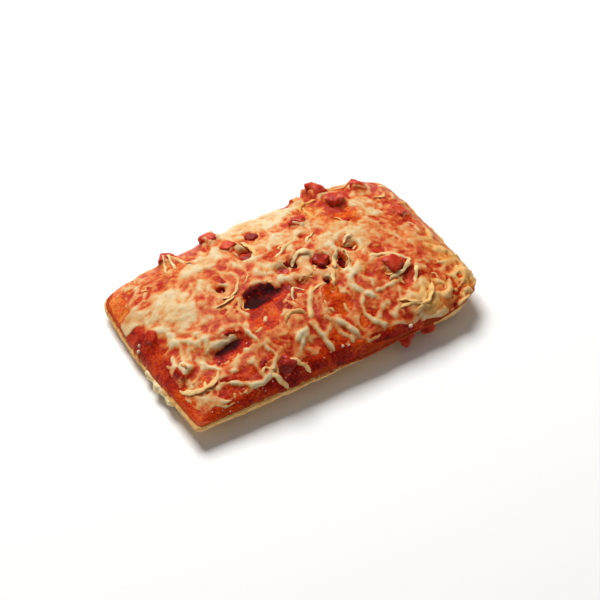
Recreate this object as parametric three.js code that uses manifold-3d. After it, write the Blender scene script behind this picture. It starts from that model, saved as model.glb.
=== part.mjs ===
// A rectangular slice of pizza, baked as one pillow of risen dough, with tomato sauce, melted grated
// cheese and small cubes of ham. Millimetres, +Z up. The slice stands on the flat middle of its
// underside, its length runs along X and its origin is under the middle of the slice, at the table.
import * as THREE from "three";
import { ConvexGeometry } from "three/addons/geometries/ConvexGeometry.js";
import { mergeVertices } from "three/addons/utils/BufferGeometryUtils.js";
import Module from "manifold-3d";

// Driving dimensions of the slice.
const SLICE_LENGTH = 160;
const SLICE_WIDTH = 102;
const CRUST_HEIGHT = 29; // the bread's crown above the table
const LIP_THICKNESS = 3.2; // the baked edge between the top and the underside
const LIP_INSET = 0.012; // how far the lip's upper and lower ends lie inside its middle, as a share
const FOOT_LENGTH = 128; // the flat middle of the underside
const FOOT_WIDTH = 72;
const FOOT_SQUARENESS = 4;
const UNDERSIDE_RISE = 1.6; // power of the curve from the foot up to the lip

// The outline is a rectangle with rounded corners: each corner has its own squareness.
const CORNER_SQUARENESS = { farRight: 6.5, farLeft: 11, nearLeft: 40, nearRight: 7.5 };
const RIGHT_END_BOW = 0.041; // how far the corners lie inside the middle of each edge, as a share
const LEFT_END_BOW = 0.02;
const SIDE_BOW = 0.026;

// Height of the baked edge every 45 degrees, counted from the right end, over the far side.
const EDGE_HEIGHTS = [12, 14, 11.5, 6.5, 6.5, 10.5, 11.5, 12.5];

// The top rises from the edge as a pillow: steep shoulders and a broad crown.
const END_SHOULDER = 2.4;
const SIDE_SHOULDER = 2.2;
const SHOULDER_ROUNDNESS = 1.4;

// Layers on the bread.
const LAYER_GAP = 0.35; // clearance between neighbouring pieces
const SAUCE_THICKNESS = 1.2;
const SAUCE_REACH = 0.955; // how far the sauce runs towards the edge, as a share
const SAUCE_WAVE = 0.01;
const CHEESE_THICKNESS = 2.2;
const CHEESE_REACH = 0.924;
const CHEESE_WAVE = 0.024;
const LAYER_EDGE = 0.45; // share of a layer's thickness that is left at its edge

// Bare patches, where the sauce shows through the cheese: middle, half sizes and turn in degrees.
const BARE_PATCHES = [
  { x: -47, y: -41, long: 20, wide: 5.5, turn: 4 },
  { x: -68, y: 0, long: 9, wide: 6.5, turn: 80 },
  { x: -14, y: -20, long: 13, wide: 6.5, turn: 12 },
  { x: 12, y: -31, long: 7, wide: 5, turn: 20 },
  { x: 67, y: 14, long: 11, wide: 4.5, turn: 95 },
  { x: 46, y: 22, long: 8, wide: 4, turn: 30 },
  { x: -69, y: 32, long: 7, wide: 5, turn: 60 },
];
const PATCH_SIDES = 12;

// Ham cubes: place on the slice, side, turn in degrees, tilt of the ones that stand on an edge, and
// how deep each has sunk into the dough.
const HAM_BEVEL = 0.55;
const HAM_SQUAT = 0.86; // a baked cube's height as a share of its side
const SHALLOW = 0.9;
const HALFWAY = 2.2;
const DEEP = 3.6;
const HAM_CUBES = [
  { x: -21, y: 40, side: 7.8, turn: 20, tilt: 28, sink: SHALLOW },
  { x: -43, y: 42, side: 7.4, turn: 50, tilt: 20, sink: SHALLOW },
  { x: -18, y: 29, side: 7.6, turn: 35, tilt: 0, sink: HALFWAY },
  { x: -5.5, y: 29, side: 6.2, turn: 10, tilt: 0, sink: HALFWAY },
  { x: 38, y: 42.5, side: 9.4, turn: 12, tilt: 45, sink: SHALLOW },
  { x: 28, y: 42.5, side: 6.4, turn: 15, tilt: 12, sink: SHALLOW },
  { x: 41, y: 30, side: 9.0, turn: 25, tilt: 0, sink: SHALLOW },
  { x: 58, y: 36, side: 8.0, turn: 70, tilt: 18, sink: SHALLOW },
  { x: 66, y: 13, side: 7.8, turn: 30, tilt: 0, sink: HALFWAY },
  { x: 17.5, y: 25, side: 7.4, turn: 48, tilt: 10, sink: SHALLOW },
  { x: 41, y: -20.5, side: 8.6, turn: 28, tilt: 12, sink: HALFWAY },
  { x: 12, y: -4.5, side: 8.4, turn: 58, tilt: 8, sink: DEEP },
  { x: -4.5, y: 1, side: 7.0, turn: 12, tilt: 0, sink: DEEP },
  { x: -48, y: -21, side: 8.0, turn: 66, tilt: 12, sink: HALFWAY },
  { x: -69, y: -22, side: 7.6, turn: 22, tilt: 0, sink: HALFWAY },
  { x: -71, y: 5, side: 6.6, turn: 40, tilt: 0, sink: HALFWAY },
  { x: -30, y: -43, side: 7.8, turn: 33, tilt: 0, sink: SHALLOW },
  { x: 40, y: -9, side: 7.6, turn: 75, tilt: 0, sink: DEEP },
  { x: 30, y: -2.5, side: 6.6, turn: 18, tilt: 0, sink: DEEP },
  { x: -13.5, y: 20, side: 6.8, turn: 52, tilt: 0, sink: DEEP },
  { x: -7, y: -13, side: 7.6, turn: 24, tilt: 0, sink: DEEP },
  { x: 9, y: -25, side: 7.4, turn: 44, tilt: 0, sink: DEEP },
  { x: -35.5, y: 7, side: 6.4, turn: 30, tilt: 0, sink: DEEP },
  { x: 38, y: -42, side: 7.4, turn: 12, tilt: 0, sink: HALFWAY },
];

// Ham that slipped over the near edge and baked onto the underside: centre, side, turn and tilt.
const SLIPPED_HAM = [
  { x: 31.5, y: -47.8, z: 6.7, side: 6.4, turn: 42, tilt: 28 },
  { x: 43.5, y: -47.6, z: 7.4, side: 6.0, turn: 15, tilt: 40 },
];

// How finely the surfaces are cut into facets.
const END_SPOKES = 4; // from the middle of an end to the corner
const SIDE_SPOKES = 7; // from the corner to the middle of a side
const TOP_RINGS = 8;
const LIP_RINGS = 3;
const UNDERSIDE_RINGS = 3;
const LAYER_RINGS = TOP_RINGS - 2; // the layers share these rings with the bread

const UP = new THREE.Vector3(0, 0, 1);
const EIGHTH_TURN = Math.PI / 4;
const wasm = await Module();
wasm.setup();

function cornerSquareness(angle) {
  const quarter = Math.floor(angle / (2 * EIGHTH_TURN)) % 4;
  const { farRight, farLeft, nearLeft, nearRight } = CORNER_SQUARENESS;
  return [farRight, farLeft, nearLeft, nearRight][quarter];
}

// A point of the unit outline in the direction of an angle, before the edges bow out.
function unitOutline(angle) {
  const power = cornerSquareness(angle);
  const across = Math.abs(Math.cos(angle)) / (SLICE_LENGTH / 2);
  const along = Math.abs(Math.sin(angle)) / (SLICE_WIDTH / 2);
  const reach = (across ** power + along ** power) ** (-1 / power);
  return {
    u: (reach * Math.cos(angle)) / (SLICE_LENGTH / 2),
    v: (reach * Math.sin(angle)) / (SLICE_WIDTH / 2),
  };
}

// Unit coordinates to millimetres, with the corners drawn in behind the bowed edges.
function bowed(u, v) {
  const endBow = u > 0 ? RIGHT_END_BOW : LEFT_END_BOW;
  return {
    x: u * (SLICE_LENGTH / 2) * (1 - endBow * v * v),
    y: v * (SLICE_WIDTH / 2) * (1 - SIDE_BOW * u * u),
  };
}

// Millimetres back to unit coordinates, by repeating the bow until it settles.
function unbowed(x, y) {
  let u = x / (SLICE_LENGTH / 2);
  let v = y / (SLICE_WIDTH / 2);
  for (let pass = 0; pass < 6; pass++) {
    const endBow = x > 0 ? RIGHT_END_BOW : LEFT_END_BOW;
    const nextU = x / (SLICE_LENGTH / 2) / (1 - endBow * v * v);
    v = y / (SLICE_WIDTH / 2) / (1 - SIDE_BOW * u * u);
    u = nextU;
  }
  return { u, v };
}

// Height of the baked edge in the direction of a unit point, eased between the eight stated heights.
function edgeHeight(u, v) {
  const turn = (Math.atan2(v, u) / EIGHTH_TURN + 8) % 8;
  const from = Math.floor(turn) % 8;
  const eased = THREE.MathUtils.smoothstep(turn - Math.floor(turn), 0, 1);
  return THREE.MathUtils.lerp(EDGE_HEIGHTS[from], EDGE_HEIGHTS[(from + 1) % 8], eased);
}

// The bread's top: the pillow, with slow swells left by the bubbles in the dough.
function breadTop(x, y) {
  const { u, v } = unbowed(x, y);
  const endRise = Math.max(0, 1 - Math.abs(u) ** END_SHOULDER) ** (1 / SHOULDER_ROUNDNESS);
  const sideRise = Math.max(0, 1 - Math.abs(v) ** SIDE_SHOULDER) ** (1 / SHOULDER_ROUNDNESS);
  const rise = endRise * sideRise;
  const swell = Math.sin(x / 11 + 0.6) * Math.cos(y / 9) + 0.6 * Math.sin(x / 23 - y / 15);
  const edge = edgeHeight(u, v);
  return edge + (CRUST_HEIGHT - edge) * rise + 0.6 * swell * rise;
}

function topNormal(x, y) {
  const step = 0.5;
  const slopeX = (breadTop(x + step, y) - breadTop(x - step, y)) / (2 * step);
  const slopeY = (breadTop(x, y + step) - breadTop(x, y - step)) / (2 * step);
  return new THREE.Vector3(-slopeX, -slopeY, 1).normalize();
}

// A closed surface from rings of equal length, between a first and a last point. The rings run
// anticlockwise seen from above, and go from the top outwards and back underneath.
function closedSurface(first, rings, last) {
  const points = [first, ...rings.flat(), last];
  const spokes = rings[0].length;
  const faces = [];
  const at = (ring, spoke) => 1 + ring * spokes + (spoke % spokes);
  for (let spoke = 0; spoke < spokes; spoke++) {
    faces.push(0, at(0, spoke), at(0, spoke + 1));
    for (let ring = 0; ring + 1 < rings.length; ring++) {
      faces.push(at(ring, spoke), at(ring + 1, spoke), at(ring + 1, spoke + 1));
      faces.push(at(ring, spoke), at(ring + 1, spoke + 1), at(ring, spoke + 1));
    }
    faces.push(points.length - 1, at(rings.length - 1, spoke + 1), at(rings.length - 1, spoke));
  }
  const geometry = new THREE.BufferGeometry().setFromPoints(points);
  return geometry.setIndex(faces);
}

// Directions from the middle, with one spoke in each corner and none far from it.
function spokeAngles() {
  const corner = Math.atan2(SLICE_WIDTH, SLICE_LENGTH);
  const ease = (t) => Math.sin((t * Math.PI) / 2);
  const quarter = [
    ...Array.from({ length: END_SPOKES }, (_, i) => corner * ease(i / END_SPOKES)),
    ...Array.from({ length: SIDE_SPOKES }, (_, i) => {
      return Math.PI / 2 - (Math.PI / 2 - corner) * ease(1 - i / SIDE_SPOKES);
    }),
  ];
  const mirrored = [...quarter.slice(1), Math.PI / 2].map((angle) => Math.PI - angle).reverse();
  const farHalf = [...quarter, ...mirrored];
  return [...farHalf, ...farHalf.map((angle) => angle + Math.PI)];
}

// A point of the top at a share of the way from the middle to the outline, raised along the normal.
function topPoint(angle, share, raised) {
  const { u, v } = unitOutline(angle);
  const { x, y } = bowed(u * share, v * share);
  const point = new THREE.Vector3(x, y, breadTop(x, y));
  return raised ? point.addScaledVector(topNormal(x, y), raised) : point;
}

// A point of the flat foot's outline, a smaller rounded rectangle on the table.
function footPoint(angle) {
  const across = Math.abs(Math.cos(angle)) / (FOOT_LENGTH / 2);
  const along = Math.abs(Math.sin(angle)) / (FOOT_WIDTH / 2);
  const reach = (across ** FOOT_SQUARENESS + along ** FOOT_SQUARENESS) ** (-1 / FOOT_SQUARENESS);
  return new THREE.Vector3(reach * Math.cos(angle), reach * Math.sin(angle), 0);
}

// Shares of the way out, closer together towards the steep shoulder.
function outwardShares() {
  const last = 1 - LIP_INSET;
  return Array.from({ length: TOP_RINGS }, (_, i) => last * (1 - (1 - (i + 1) / TOP_RINGS) ** 1.7));
}

function breadGeometry() {
  const angles = spokeAngles();
  const lip = (angle) => topPoint(angle, 1, 0);
  const rings = outwardShares().map((share) => angles.map((angle) => topPoint(angle, share, 0)));
  // The lip is half a round bead, bulging past the top's last ring.
  for (let i = 0; i < LIP_RINGS; i++) {
    const swing = ((i + 0.5) / LIP_RINGS) * Math.PI;
    rings.push(
      angles.map((angle) => {
        const edge = lip(angle);
        const pull = 1 - LIP_INSET * (1 - Math.sin(swing));
        const drop = (LIP_THICKNESS / 2) * (1 - Math.cos(swing));
        return new THREE.Vector3(edge.x * pull, edge.y * pull, edge.z - drop);
      }),
    );
  }
  // The underside sweeps from under the lip in to the foot, which lies flat on the table.
  for (let i = 0; i < UNDERSIDE_RINGS; i++) {
    const share = 1 - (i + 1) / UNDERSIDE_RINGS;
    rings.push(
      angles.map((angle) => {
        const edge = lip(angle);
        const inner = footPoint(angle);
        const height = (edge.z - LIP_THICKNESS) * share ** UNDERSIDE_RISE;
        return new THREE.Vector3(edge.x, edge.y, 0).multiplyScalar(0.975).lerp(inner, 1 - share).setZ(height);
      }),
    );
  }
  return closedSurface(topPoint(0, 0, 0), rings, new THREE.Vector3(0, 0, 0));
}

// A layer that follows the bread's top between two distances above it, out to a wavy outline.
function layerGeometry(floor, thickness, reach, wave) {
  const angles = spokeAngles();
  const edgeShare = (angle) => {
    const wobble = 0.5 * Math.sin(5 * angle + 1) + 0.3 * Math.sin(9 * angle) + 0.2 * Math.sin(17 * angle + 2);
    return reach + wave * wobble;
  };
  const shares = outwardShares().slice(0, LAYER_RINGS);
  const ringAt = (share, raised) => angles.map((angle) => topPoint(angle, share, raised));
  const edgeAt = (raised) => angles.map((angle) => topPoint(angle, edgeShare(angle), raised));
  const upper = shares.map((share) => ringAt(share, floor + thickness));
  const lower = shares.map((share) => ringAt(share, floor)).reverse();
  const edges = [edgeAt(floor + thickness * LAYER_EDGE), edgeAt(floor)];
  return closedSurface(topPoint(0, 0, floor + thickness), [...upper, ...edges, ...lower], topPoint(0, 0, floor));
}

function solidOf(geometry, matrix = new THREE.Matrix4()) {
  const bare = new THREE.BufferGeometry().setAttribute("position", geometry.getAttribute("position").clone());
  if (geometry.index) bare.setIndex(geometry.index);
  const merged = mergeVertices(bare.applyMatrix4(matrix), 1e-3);
  return new wasm.Manifold(
    new wasm.Mesh({
      numProp: 3,
      vertProperties: new Float32Array(merged.attributes.position.array),
      triVerts: new Uint32Array(merged.index.array),
    }),
  );
}

function geometryOf(solid) {
  const mesh = solid.getMesh();
  const geometry = new THREE.BufferGeometry();
  geometry.setAttribute("position", new THREE.BufferAttribute(new Float32Array(mesh.vertProperties), 3));
  geometry.setIndex(new THREE.BufferAttribute(new Uint32Array(mesh.triVerts), 1));
  const flat = geometry.toNonIndexed();
  flat.computeVertexNormals();
  return flat;
}

// The largest piece that is left of a solid after its cuts.
function largestPiece(solid) {
  return solid.decompose().reduce((best, piece) => (piece.volume() > best.volume() ? piece : best));
}

// Where a ham cube sits: sunk into the bread, turned on the surface and tilted on an edge.
function hamSeat({ x, y, side, turn, tilt, sink }) {
  const normal = topNormal(x, y);
  const lean = THREE.MathUtils.degToRad(tilt);
  const extent = side * Math.sin(lean) + side * HAM_SQUAT * Math.cos(lean);
  const seat = new THREE.Object3D();
  seat.position.set(x, y, breadTop(x, y)).addScaledVector(normal, extent / 2 - sink);
  seat.quaternion.setFromUnitVectors(UP, normal);
  seat.rotateZ(THREE.MathUtils.degToRad(turn));
  seat.rotateX(lean);
  seat.updateMatrix();
  return seat;
}

function slippedSeat({ x, y, z, turn, tilt }) {
  const seat = new THREE.Object3D();
  seat.position.set(x, y, z);
  seat.rotation.set(THREE.MathUtils.degToRad(tilt), 0, THREE.MathUtils.degToRad(turn));
  seat.updateMatrix();
  return seat;
}

// A cube with bevelled edges: at each corner three points, one on each face that meets there.
function hamGeometry(side) {
  const corners = [];
  for (const sx of [-1, 1]) {
    for (const sy of [-1, 1]) {
      for (const sz of [-1, 1]) {
        const corner = new THREE.Vector3((sx * side) / 2, (sy * side) / 2, (sz * side * HAM_SQUAT) / 2);
        corners.push(corner.clone().add(new THREE.Vector3(0, -sy, -sz).multiplyScalar(HAM_BEVEL)));
        corners.push(corner.clone().add(new THREE.Vector3(-sx, 0, -sz).multiplyScalar(HAM_BEVEL)));
        corners.push(corner.clone().add(new THREE.Vector3(-sx, -sy, 0).multiplyScalar(HAM_BEVEL)));
      }
    }
  }
  return new ConvexGeometry(corners);
}

// The space that a ham cube takes out of the layers round it.
function hamRoomGeometry(side) {
  const room = side + 2 * LAYER_GAP;
  return new THREE.BoxGeometry(room, room, side * HAM_SQUAT + 2 * LAYER_GAP);
}

function patchSolid({ x, y, long, wide, turn }) {
  const cutter = new THREE.CylinderGeometry(1, 1, 4 * CRUST_HEIGHT, PATCH_SIDES);
  cutter.rotateX(Math.PI / 2);
  cutter.scale(long, wide, 1);
  cutter.rotateZ(THREE.MathUtils.degToRad(turn));
  cutter.translate(x, y, 0);
  return solidOf(cutter);
}

const materials = {
  bread: new THREE.MeshStandardMaterial({ color: 0xe0a860, roughness: 0.75, metalness: 0 }),
  sauce: new THREE.MeshStandardMaterial({ color: 0xb8321a, roughness: 0.4, metalness: 0 }),
  cheese: new THREE.MeshStandardMaterial({ color: 0xe8c393, roughness: 0.45, metalness: 0 }),
  ham: new THREE.MeshStandardMaterial({ color: 0xa83a2c, roughness: 0.45, metalness: 0 }),
};

function namedMesh(name, geometry, material) {
  const mesh = new THREE.Mesh(geometry, material);
  mesh.name = name;
  return mesh;
}

// Every ham piece with its seat.
const hamPieces = [
  ...HAM_CUBES.map((cube) => ({ side: cube.side, seat: hamSeat(cube) })),
  ...SLIPPED_HAM.map((cube) => ({ side: cube.side, seat: slippedSeat(cube) })),
];
const hamRoom = hamPieces
  .map(({ side, seat }) => solidOf(hamRoomGeometry(side), seat.matrix))
  .reduce((all, next) => all.add(next));

const sauceFloor = LAYER_GAP;
const cheeseFloor = sauceFloor + SAUCE_THICKNESS + LAYER_GAP;
const bread = solidOf(breadGeometry()).subtract(hamRoom);
const sauce = solidOf(layerGeometry(sauceFloor, SAUCE_THICKNESS, SAUCE_REACH, SAUCE_WAVE)).subtract(hamRoom);
const barePatches = BARE_PATCHES.map(patchSolid).reduce((all, next) => all.add(next));
const cheese = solidOf(layerGeometry(cheeseFloor, CHEESE_THICKNESS, CHEESE_REACH, CHEESE_WAVE))
  .subtract(hamRoom)
  .subtract(barePatches);

const slice = new THREE.Group();
slice.add(namedMesh("bread", geometryOf(largestPiece(bread)), materials.bread));
slice.add(namedMesh("tomato_sauce", geometryOf(largestPiece(sauce)), materials.sauce));
slice.add(namedMesh("melted_cheese", geometryOf(largestPiece(cheese)), materials.cheese));
hamPieces.forEach(({ side, seat }, i) => {
  const cube = namedMesh(`ham_cube_${String(i + 1).padStart(2, "0")}`, hamGeometry(side), materials.ham);
  cube.position.copy(seat.position);
  cube.quaternion.copy(seat.quaternion);
  slice.add(cube);
});

export default slice;
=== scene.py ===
"""Looks of a rectangular slice of bakery pizza: risen bread, tomato sauce, melted cheese and ham.

Each class below works out one part of the slice with numpy, makes its meshes and dresses them.
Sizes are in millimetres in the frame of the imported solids, and become metres when a mesh is made.
"""

import logging
import math
import sys
from dataclasses import dataclass, field
from enum import Enum
from typing import Any, Callable, Mapping, Sequence

import bpy
import numpy as np
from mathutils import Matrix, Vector


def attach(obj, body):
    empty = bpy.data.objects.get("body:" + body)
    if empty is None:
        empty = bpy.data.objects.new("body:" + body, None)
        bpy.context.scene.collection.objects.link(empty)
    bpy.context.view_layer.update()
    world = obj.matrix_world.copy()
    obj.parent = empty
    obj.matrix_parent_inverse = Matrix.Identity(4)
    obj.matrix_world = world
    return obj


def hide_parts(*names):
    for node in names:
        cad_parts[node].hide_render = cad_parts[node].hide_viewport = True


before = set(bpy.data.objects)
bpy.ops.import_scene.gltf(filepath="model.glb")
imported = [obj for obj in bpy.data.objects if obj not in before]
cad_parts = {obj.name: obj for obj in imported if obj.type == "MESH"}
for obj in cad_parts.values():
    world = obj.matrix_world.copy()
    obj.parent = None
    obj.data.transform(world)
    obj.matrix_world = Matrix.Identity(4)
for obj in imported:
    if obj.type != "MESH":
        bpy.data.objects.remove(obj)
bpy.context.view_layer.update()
log = logging.getLogger("pizza_slice")

Array = np.ndarray
Colour = tuple[float, float, float, float]
MM = 0.001


# --- Numbers ---


def srgb(red: float, green: float, blue: float) -> Colour:
    """Turn display values of 0 to 255 into the linear colour that a shader takes.

    Args:
        red: Red, 0 to 255.
        green: Green, 0 to 255.
        blue: Blue, 0 to 255.

    Returns:
        The linear colour with full alpha, by the power law of 2.2.
    """
    return tuple((c / 255.0) ** 2.2 for c in (red, green, blue)) + (1.0,)


def ease(value: Array, low: float, high: float) -> Array:
    """Smoothstep: 0 below low, 1 above high, and 3t^2 - 2t^3 between.

    Args:
        value: Numbers of any shape.
        low: Where the rise starts.
        high: Where the rise ends.

    Returns:
        Numbers from 0 to 1 in the same shape.
    """
    t = np.clip((value - low) / (high - low), 0.0, 1.0)
    return t * t * (3.0 - 2.0 * t)


def lerp(a: Any, b: Any, share: Any) -> Any:
    """Straight blend from a to b by a share from 0 to 1."""
    return a + (b - a) * share


def rounded(u: Array, v: Array, power: Any) -> Array:
    """Size of a point by the superellipse's rule, (|u|^p + |v|^p)^(1/p)."""
    return (np.abs(u) ** power + np.abs(v) ** power) ** (1 / power)


def smoothed(values: Array, width: int) -> Array:
    """Average of each number's neighbours, weighted by a raised cosine of an odd width."""
    window = np.hanning(width)
    window /= window.sum()
    return np.convolve(np.pad(values, width // 2, mode="edge"), window, "valid")


def lattice_noise(points: Array, size: float, seed: int) -> Array:
    """Smooth noise: random numbers on a cubic lattice, eased between the eight corners of a cell.

    Args:
        points: Places, shape (..., 3).
        size: Edge of a lattice cell.
        seed: Chooses the random numbers.

    Returns:
        Numbers from -1 to 1, shape (...).
    """
    scaled = points / size
    cell = np.floor(scaled)
    part = scaled - cell
    part = part * part * (3.0 - 2.0 * part)
    cell = cell.astype(np.int64)

    def corner(dx: int, dy: int, dz: int) -> Array:
        """Hash one corner of each cell to a number from -1 to 1."""
        mixed = (cell[..., 0] + dx) * 73856093 ^ (cell[..., 1] + dy) * 19349663
        mixed = (mixed ^ (cell[..., 2] + dz) * 83492791 ^ seed * 40503) & 0x7FFFFFFF
        mixed = (mixed ^ (mixed >> 13)) * 1274126177 & 0x7FFFFFFF
        return ((mixed ^ (mixed >> 11)) & 0xFFFF) / 32767.5 - 1.0

    x, y, z = part[..., 0], part[..., 1], part[..., 2]
    low = lerp(lerp(corner(0, 0, 0), corner(1, 0, 0), x), lerp(corner(0, 1, 0), corner(1, 1, 0), x), y)
    high = lerp(lerp(corner(0, 0, 1), corner(1, 0, 1), x), lerp(corner(0, 1, 1), corner(1, 1, 1), x), y)
    return lerp(low, high, z)


# --- The slice's form, shared by every layer ---


@dataclass(frozen=True)
class SliceForm:
    """Outline of the slice and the surface of its bread, the same formulas as the solids have."""

    length: float = 160.0
    width: float = 102.0
    crown: float = 29.0
    lip: float = 3.2
    foot: tuple[float, float] = (128.0, 72.0)
    foot_power: float = 4.0
    underside_power: float = 1.6
    corner_powers: tuple[float, float, float, float] = (6.5, 11.0, 40.0, 7.5)
    end_bows: tuple[float, float] = (0.041, 0.02)
    side_bow: float = 0.026
    edge_heights: tuple[float, ...] = (12.0, 14.0, 11.5, 6.5, 6.5, 10.5, 11.5, 12.5)
    shoulders: tuple[float, float, float] = (2.4, 2.2, 1.4)
    swell: float = 0.6

    def corner_power(self, u: Array, v: Array) -> Array:
        """Squareness of the corner that a unit point looks towards."""
        far_right, far_left, near_left, near_right = self.corner_powers
        far, near = np.where(u >= 0, far_right, far_left), np.where(u >= 0, near_right, near_left)
        return np.where(v >= 0, far, near)

    def bow(self, u: Array, v: Array) -> tuple[Array, Array]:
        """Unit coordinates to millimetres: x shrinks with v squared and y with u squared."""
        end = np.where(u > 0, *self.end_bows)
        return u * self.length / 2 * (1 - end * v * v), v * self.width / 2 * (1 - self.side_bow * u * u)

    def unbow(self, x: Array, y: Array) -> tuple[Array, Array]:
        """Millimetres to unit coordinates, by repeating the bow's inverse until it settles."""
        end = np.where(x > 0, *self.end_bows)
        u, v = x / (self.length / 2), y / (self.width / 2)
        for _ in range(6):
            wide, deep = 1 - end * v * v, 1 - self.side_bow * u * u
            u, v = x / (self.length / 2) / wide, y / (self.width / 2) / deep
        return u, v

    def share(self, x: Array, y: Array) -> Array:
        """How far out a place lies: 0 in the middle and 1 on the outline."""
        u, v = self.unbow(x, y)
        return rounded(u, v, self.corner_power(u, v))

    def edge_height(self, u: Array, v: Array) -> Array:
        """Height of the baked edge, eased between eight directions 45 degrees apart."""
        heights = np.array(self.edge_heights)
        turn = (np.arctan2(v, u) / (math.pi / 4)) % 8
        first = np.floor(turn).astype(int) % 8
        return lerp(heights[first], heights[(first + 1) % 8], ease(turn - np.floor(turn), 0.0, 1.0))

    def top(self, x: Array, y: Array) -> Array:
        """Height of the bread: a pillow above the edge, with slow swells of sines."""
        u, v = self.unbow(x, y)
        end, side, roundness = self.shoulders
        rise = np.clip(1 - np.abs(u) ** end, 0, 1) ** (1 / roundness)
        rise = rise * np.clip(1 - np.abs(v) ** side, 0, 1) ** (1 / roundness)
        swell = np.sin(x / 11 + 0.6) * np.cos(y / 9) + 0.6 * np.sin(x / 23 - y / 15)
        edge = self.edge_height(u, v)
        return edge + (self.crown - edge) * rise + self.swell * swell * rise

    def normal(self, x: Array, y: Array) -> Array:
        """Outward direction of the bread's top, from the slopes over a millimetre each way."""
        slope_x = (self.top(x + 1, y) - self.top(x - 1, y)) / 2
        slope_y = (self.top(x, y + 1) - self.top(x, y - 1)) / 2
        normal = np.stack([-slope_x, -slope_y, np.ones_like(slope_x)], axis=-1)
        return normal / np.linalg.norm(normal, axis=-1, keepdims=True)

    def lifted(self, x: Array, y: Array, height: Array | float) -> Array:
        """Points above the bread's top, by a height along its outward direction."""
        base = np.stack([x, y, self.top(x, y)], axis=-1)
        return base + self.normal(x, y) * np.broadcast_to(height, np.shape(x))[..., None]

    def spread(self, s: Array, t: Array) -> tuple[Array, Array]:
        """Map the square -1..1 onto the outline: each ray is shortened to the rounded corner.

        Args:
            s: First coordinate in the square.
            t: Second coordinate in the square.

        Returns:
            x and y in millimetres, with the square's edge on the slice's outline.
        """
        reach = np.maximum(np.abs(s), np.abs(t))
        norm = rounded(s, t, self.corner_power(s, t))
        scale = np.where(norm > 0, reach / np.maximum(norm, 1e-9), 1.0)
        return self.bow(s * scale, t * scale)

    def foot_point(self, s: Array, t: Array) -> tuple[Array, Array]:
        """The foot's outline in the direction of a point on the square's edge."""
        norm = rounded(s, t, self.foot_power)
        return s * self.foot[0] / 2 / norm, t * self.foot[1] / 2 / norm


@dataclass(frozen=True)
class Patch:
    """An ellipse on the slice that sets a property: its middle, half sizes, turn and amount."""

    x: float
    y: float
    long: float
    wide: float
    turn: float
    amount: float


def patches(*rows: tuple[float, ...]) -> tuple[Patch, ...]:
    """Patches from rows of x, y, long, wide, turn and amount."""
    return tuple(Patch(*row) for row in rows)


@dataclass(frozen=True)
class Raster:
    """A plain grid over the slice, on which heights and tints are worked out before meshing."""

    pitch: float = 0.4
    half_x: float = 84.0
    half_y: float = 56.0
    wander: float = 0.7

    def places(self) -> tuple[Array, Array]:
        """The x and y of every grid point, shape (columns, rows)."""
        xs = np.arange(-self.half_x, self.half_x + self.pitch / 2, self.pitch)
        ys = np.arange(-self.half_y, self.half_y + self.pitch / 2, self.pitch)
        return np.meshgrid(xs, ys, indexing="ij")

    def sample(self, values: Array, x: Array, y: Array) -> Array:
        """Read the grid between its points, by weighting the four nearest.

        Args:
            values: Numbers on the grid.
            x: Where to read, any shape.
            y: Where to read, the same shape.

        Returns:
            The numbers there, in the shape of x.
        """
        column = np.clip((x + self.half_x) / self.pitch, 0, values.shape[0] - 1.001)
        row = np.clip((y + self.half_y) / self.pitch, 0, values.shape[1] - 1.001)
        i, j = column.astype(int), row.astype(int)
        a, b = column - i, row - j
        near = lerp(values[i, j], values[i + 1, j], a)
        far = lerp(values[i, j + 1], values[i + 1, j + 1], a)
        return lerp(near, far, b)

    def blur(self, values: Array, sigma: float) -> Array:
        """Gaussian blur by multiplying the grid's spectrum with exp(-2 (pi f sigma)^2)."""
        fx = np.fft.fftfreq(values.shape[0], self.pitch)[:, None]
        fy = np.fft.rfftfreq(values.shape[1], self.pitch)[None, :]
        fall = np.exp(-2 * (math.pi * sigma) ** 2 * (fx * fx + fy * fy))
        return np.fft.irfft2(np.fft.rfft2(values) * fall, s=values.shape)

    def noise(self, size: float, seed: int) -> Array:
        """Smooth noise with a mean of 0 and a spread of 1: blurred white noise."""
        x, _ = self.places()
        soft = self.blur(np.random.default_rng(seed).standard_normal(x.shape), size)
        return (soft - soft.mean()) / soft.std()

    def painted(self, default: float, patches: Sequence[Patch], soft: float = 0.35) -> Array:
        """A grid of one number, over which each patch in turn paints its own.

        Args:
            default: The number outside every patch.
            patches: The ellipses, later ones over earlier ones.
            soft: How far a patch fades either side of its outline, as a share of its size.

        Returns:
            The painted grid.
        """
        x, y = self.places()
        wander_x, wander_y = self.noise(3.0, 71) * self.wander, self.noise(3.0, 72) * self.wander
        values = np.full(x.shape, float(default))
        for patch in patches:
            c, s = math.cos(math.radians(patch.turn)), math.sin(math.radians(patch.turn))
            dx, dy = x - patch.x + wander_x, y - patch.y + wander_y
            across = ((dx * c + dy * s) / patch.long) ** 2 + ((dy * c - dx * s) / patch.wide) ** 2
            values = lerp(values, patch.amount, 1.0 - ease(np.sqrt(across), 1.0 - soft, 1.0 + soft))
        return values


# --- Meshes ---


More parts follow.
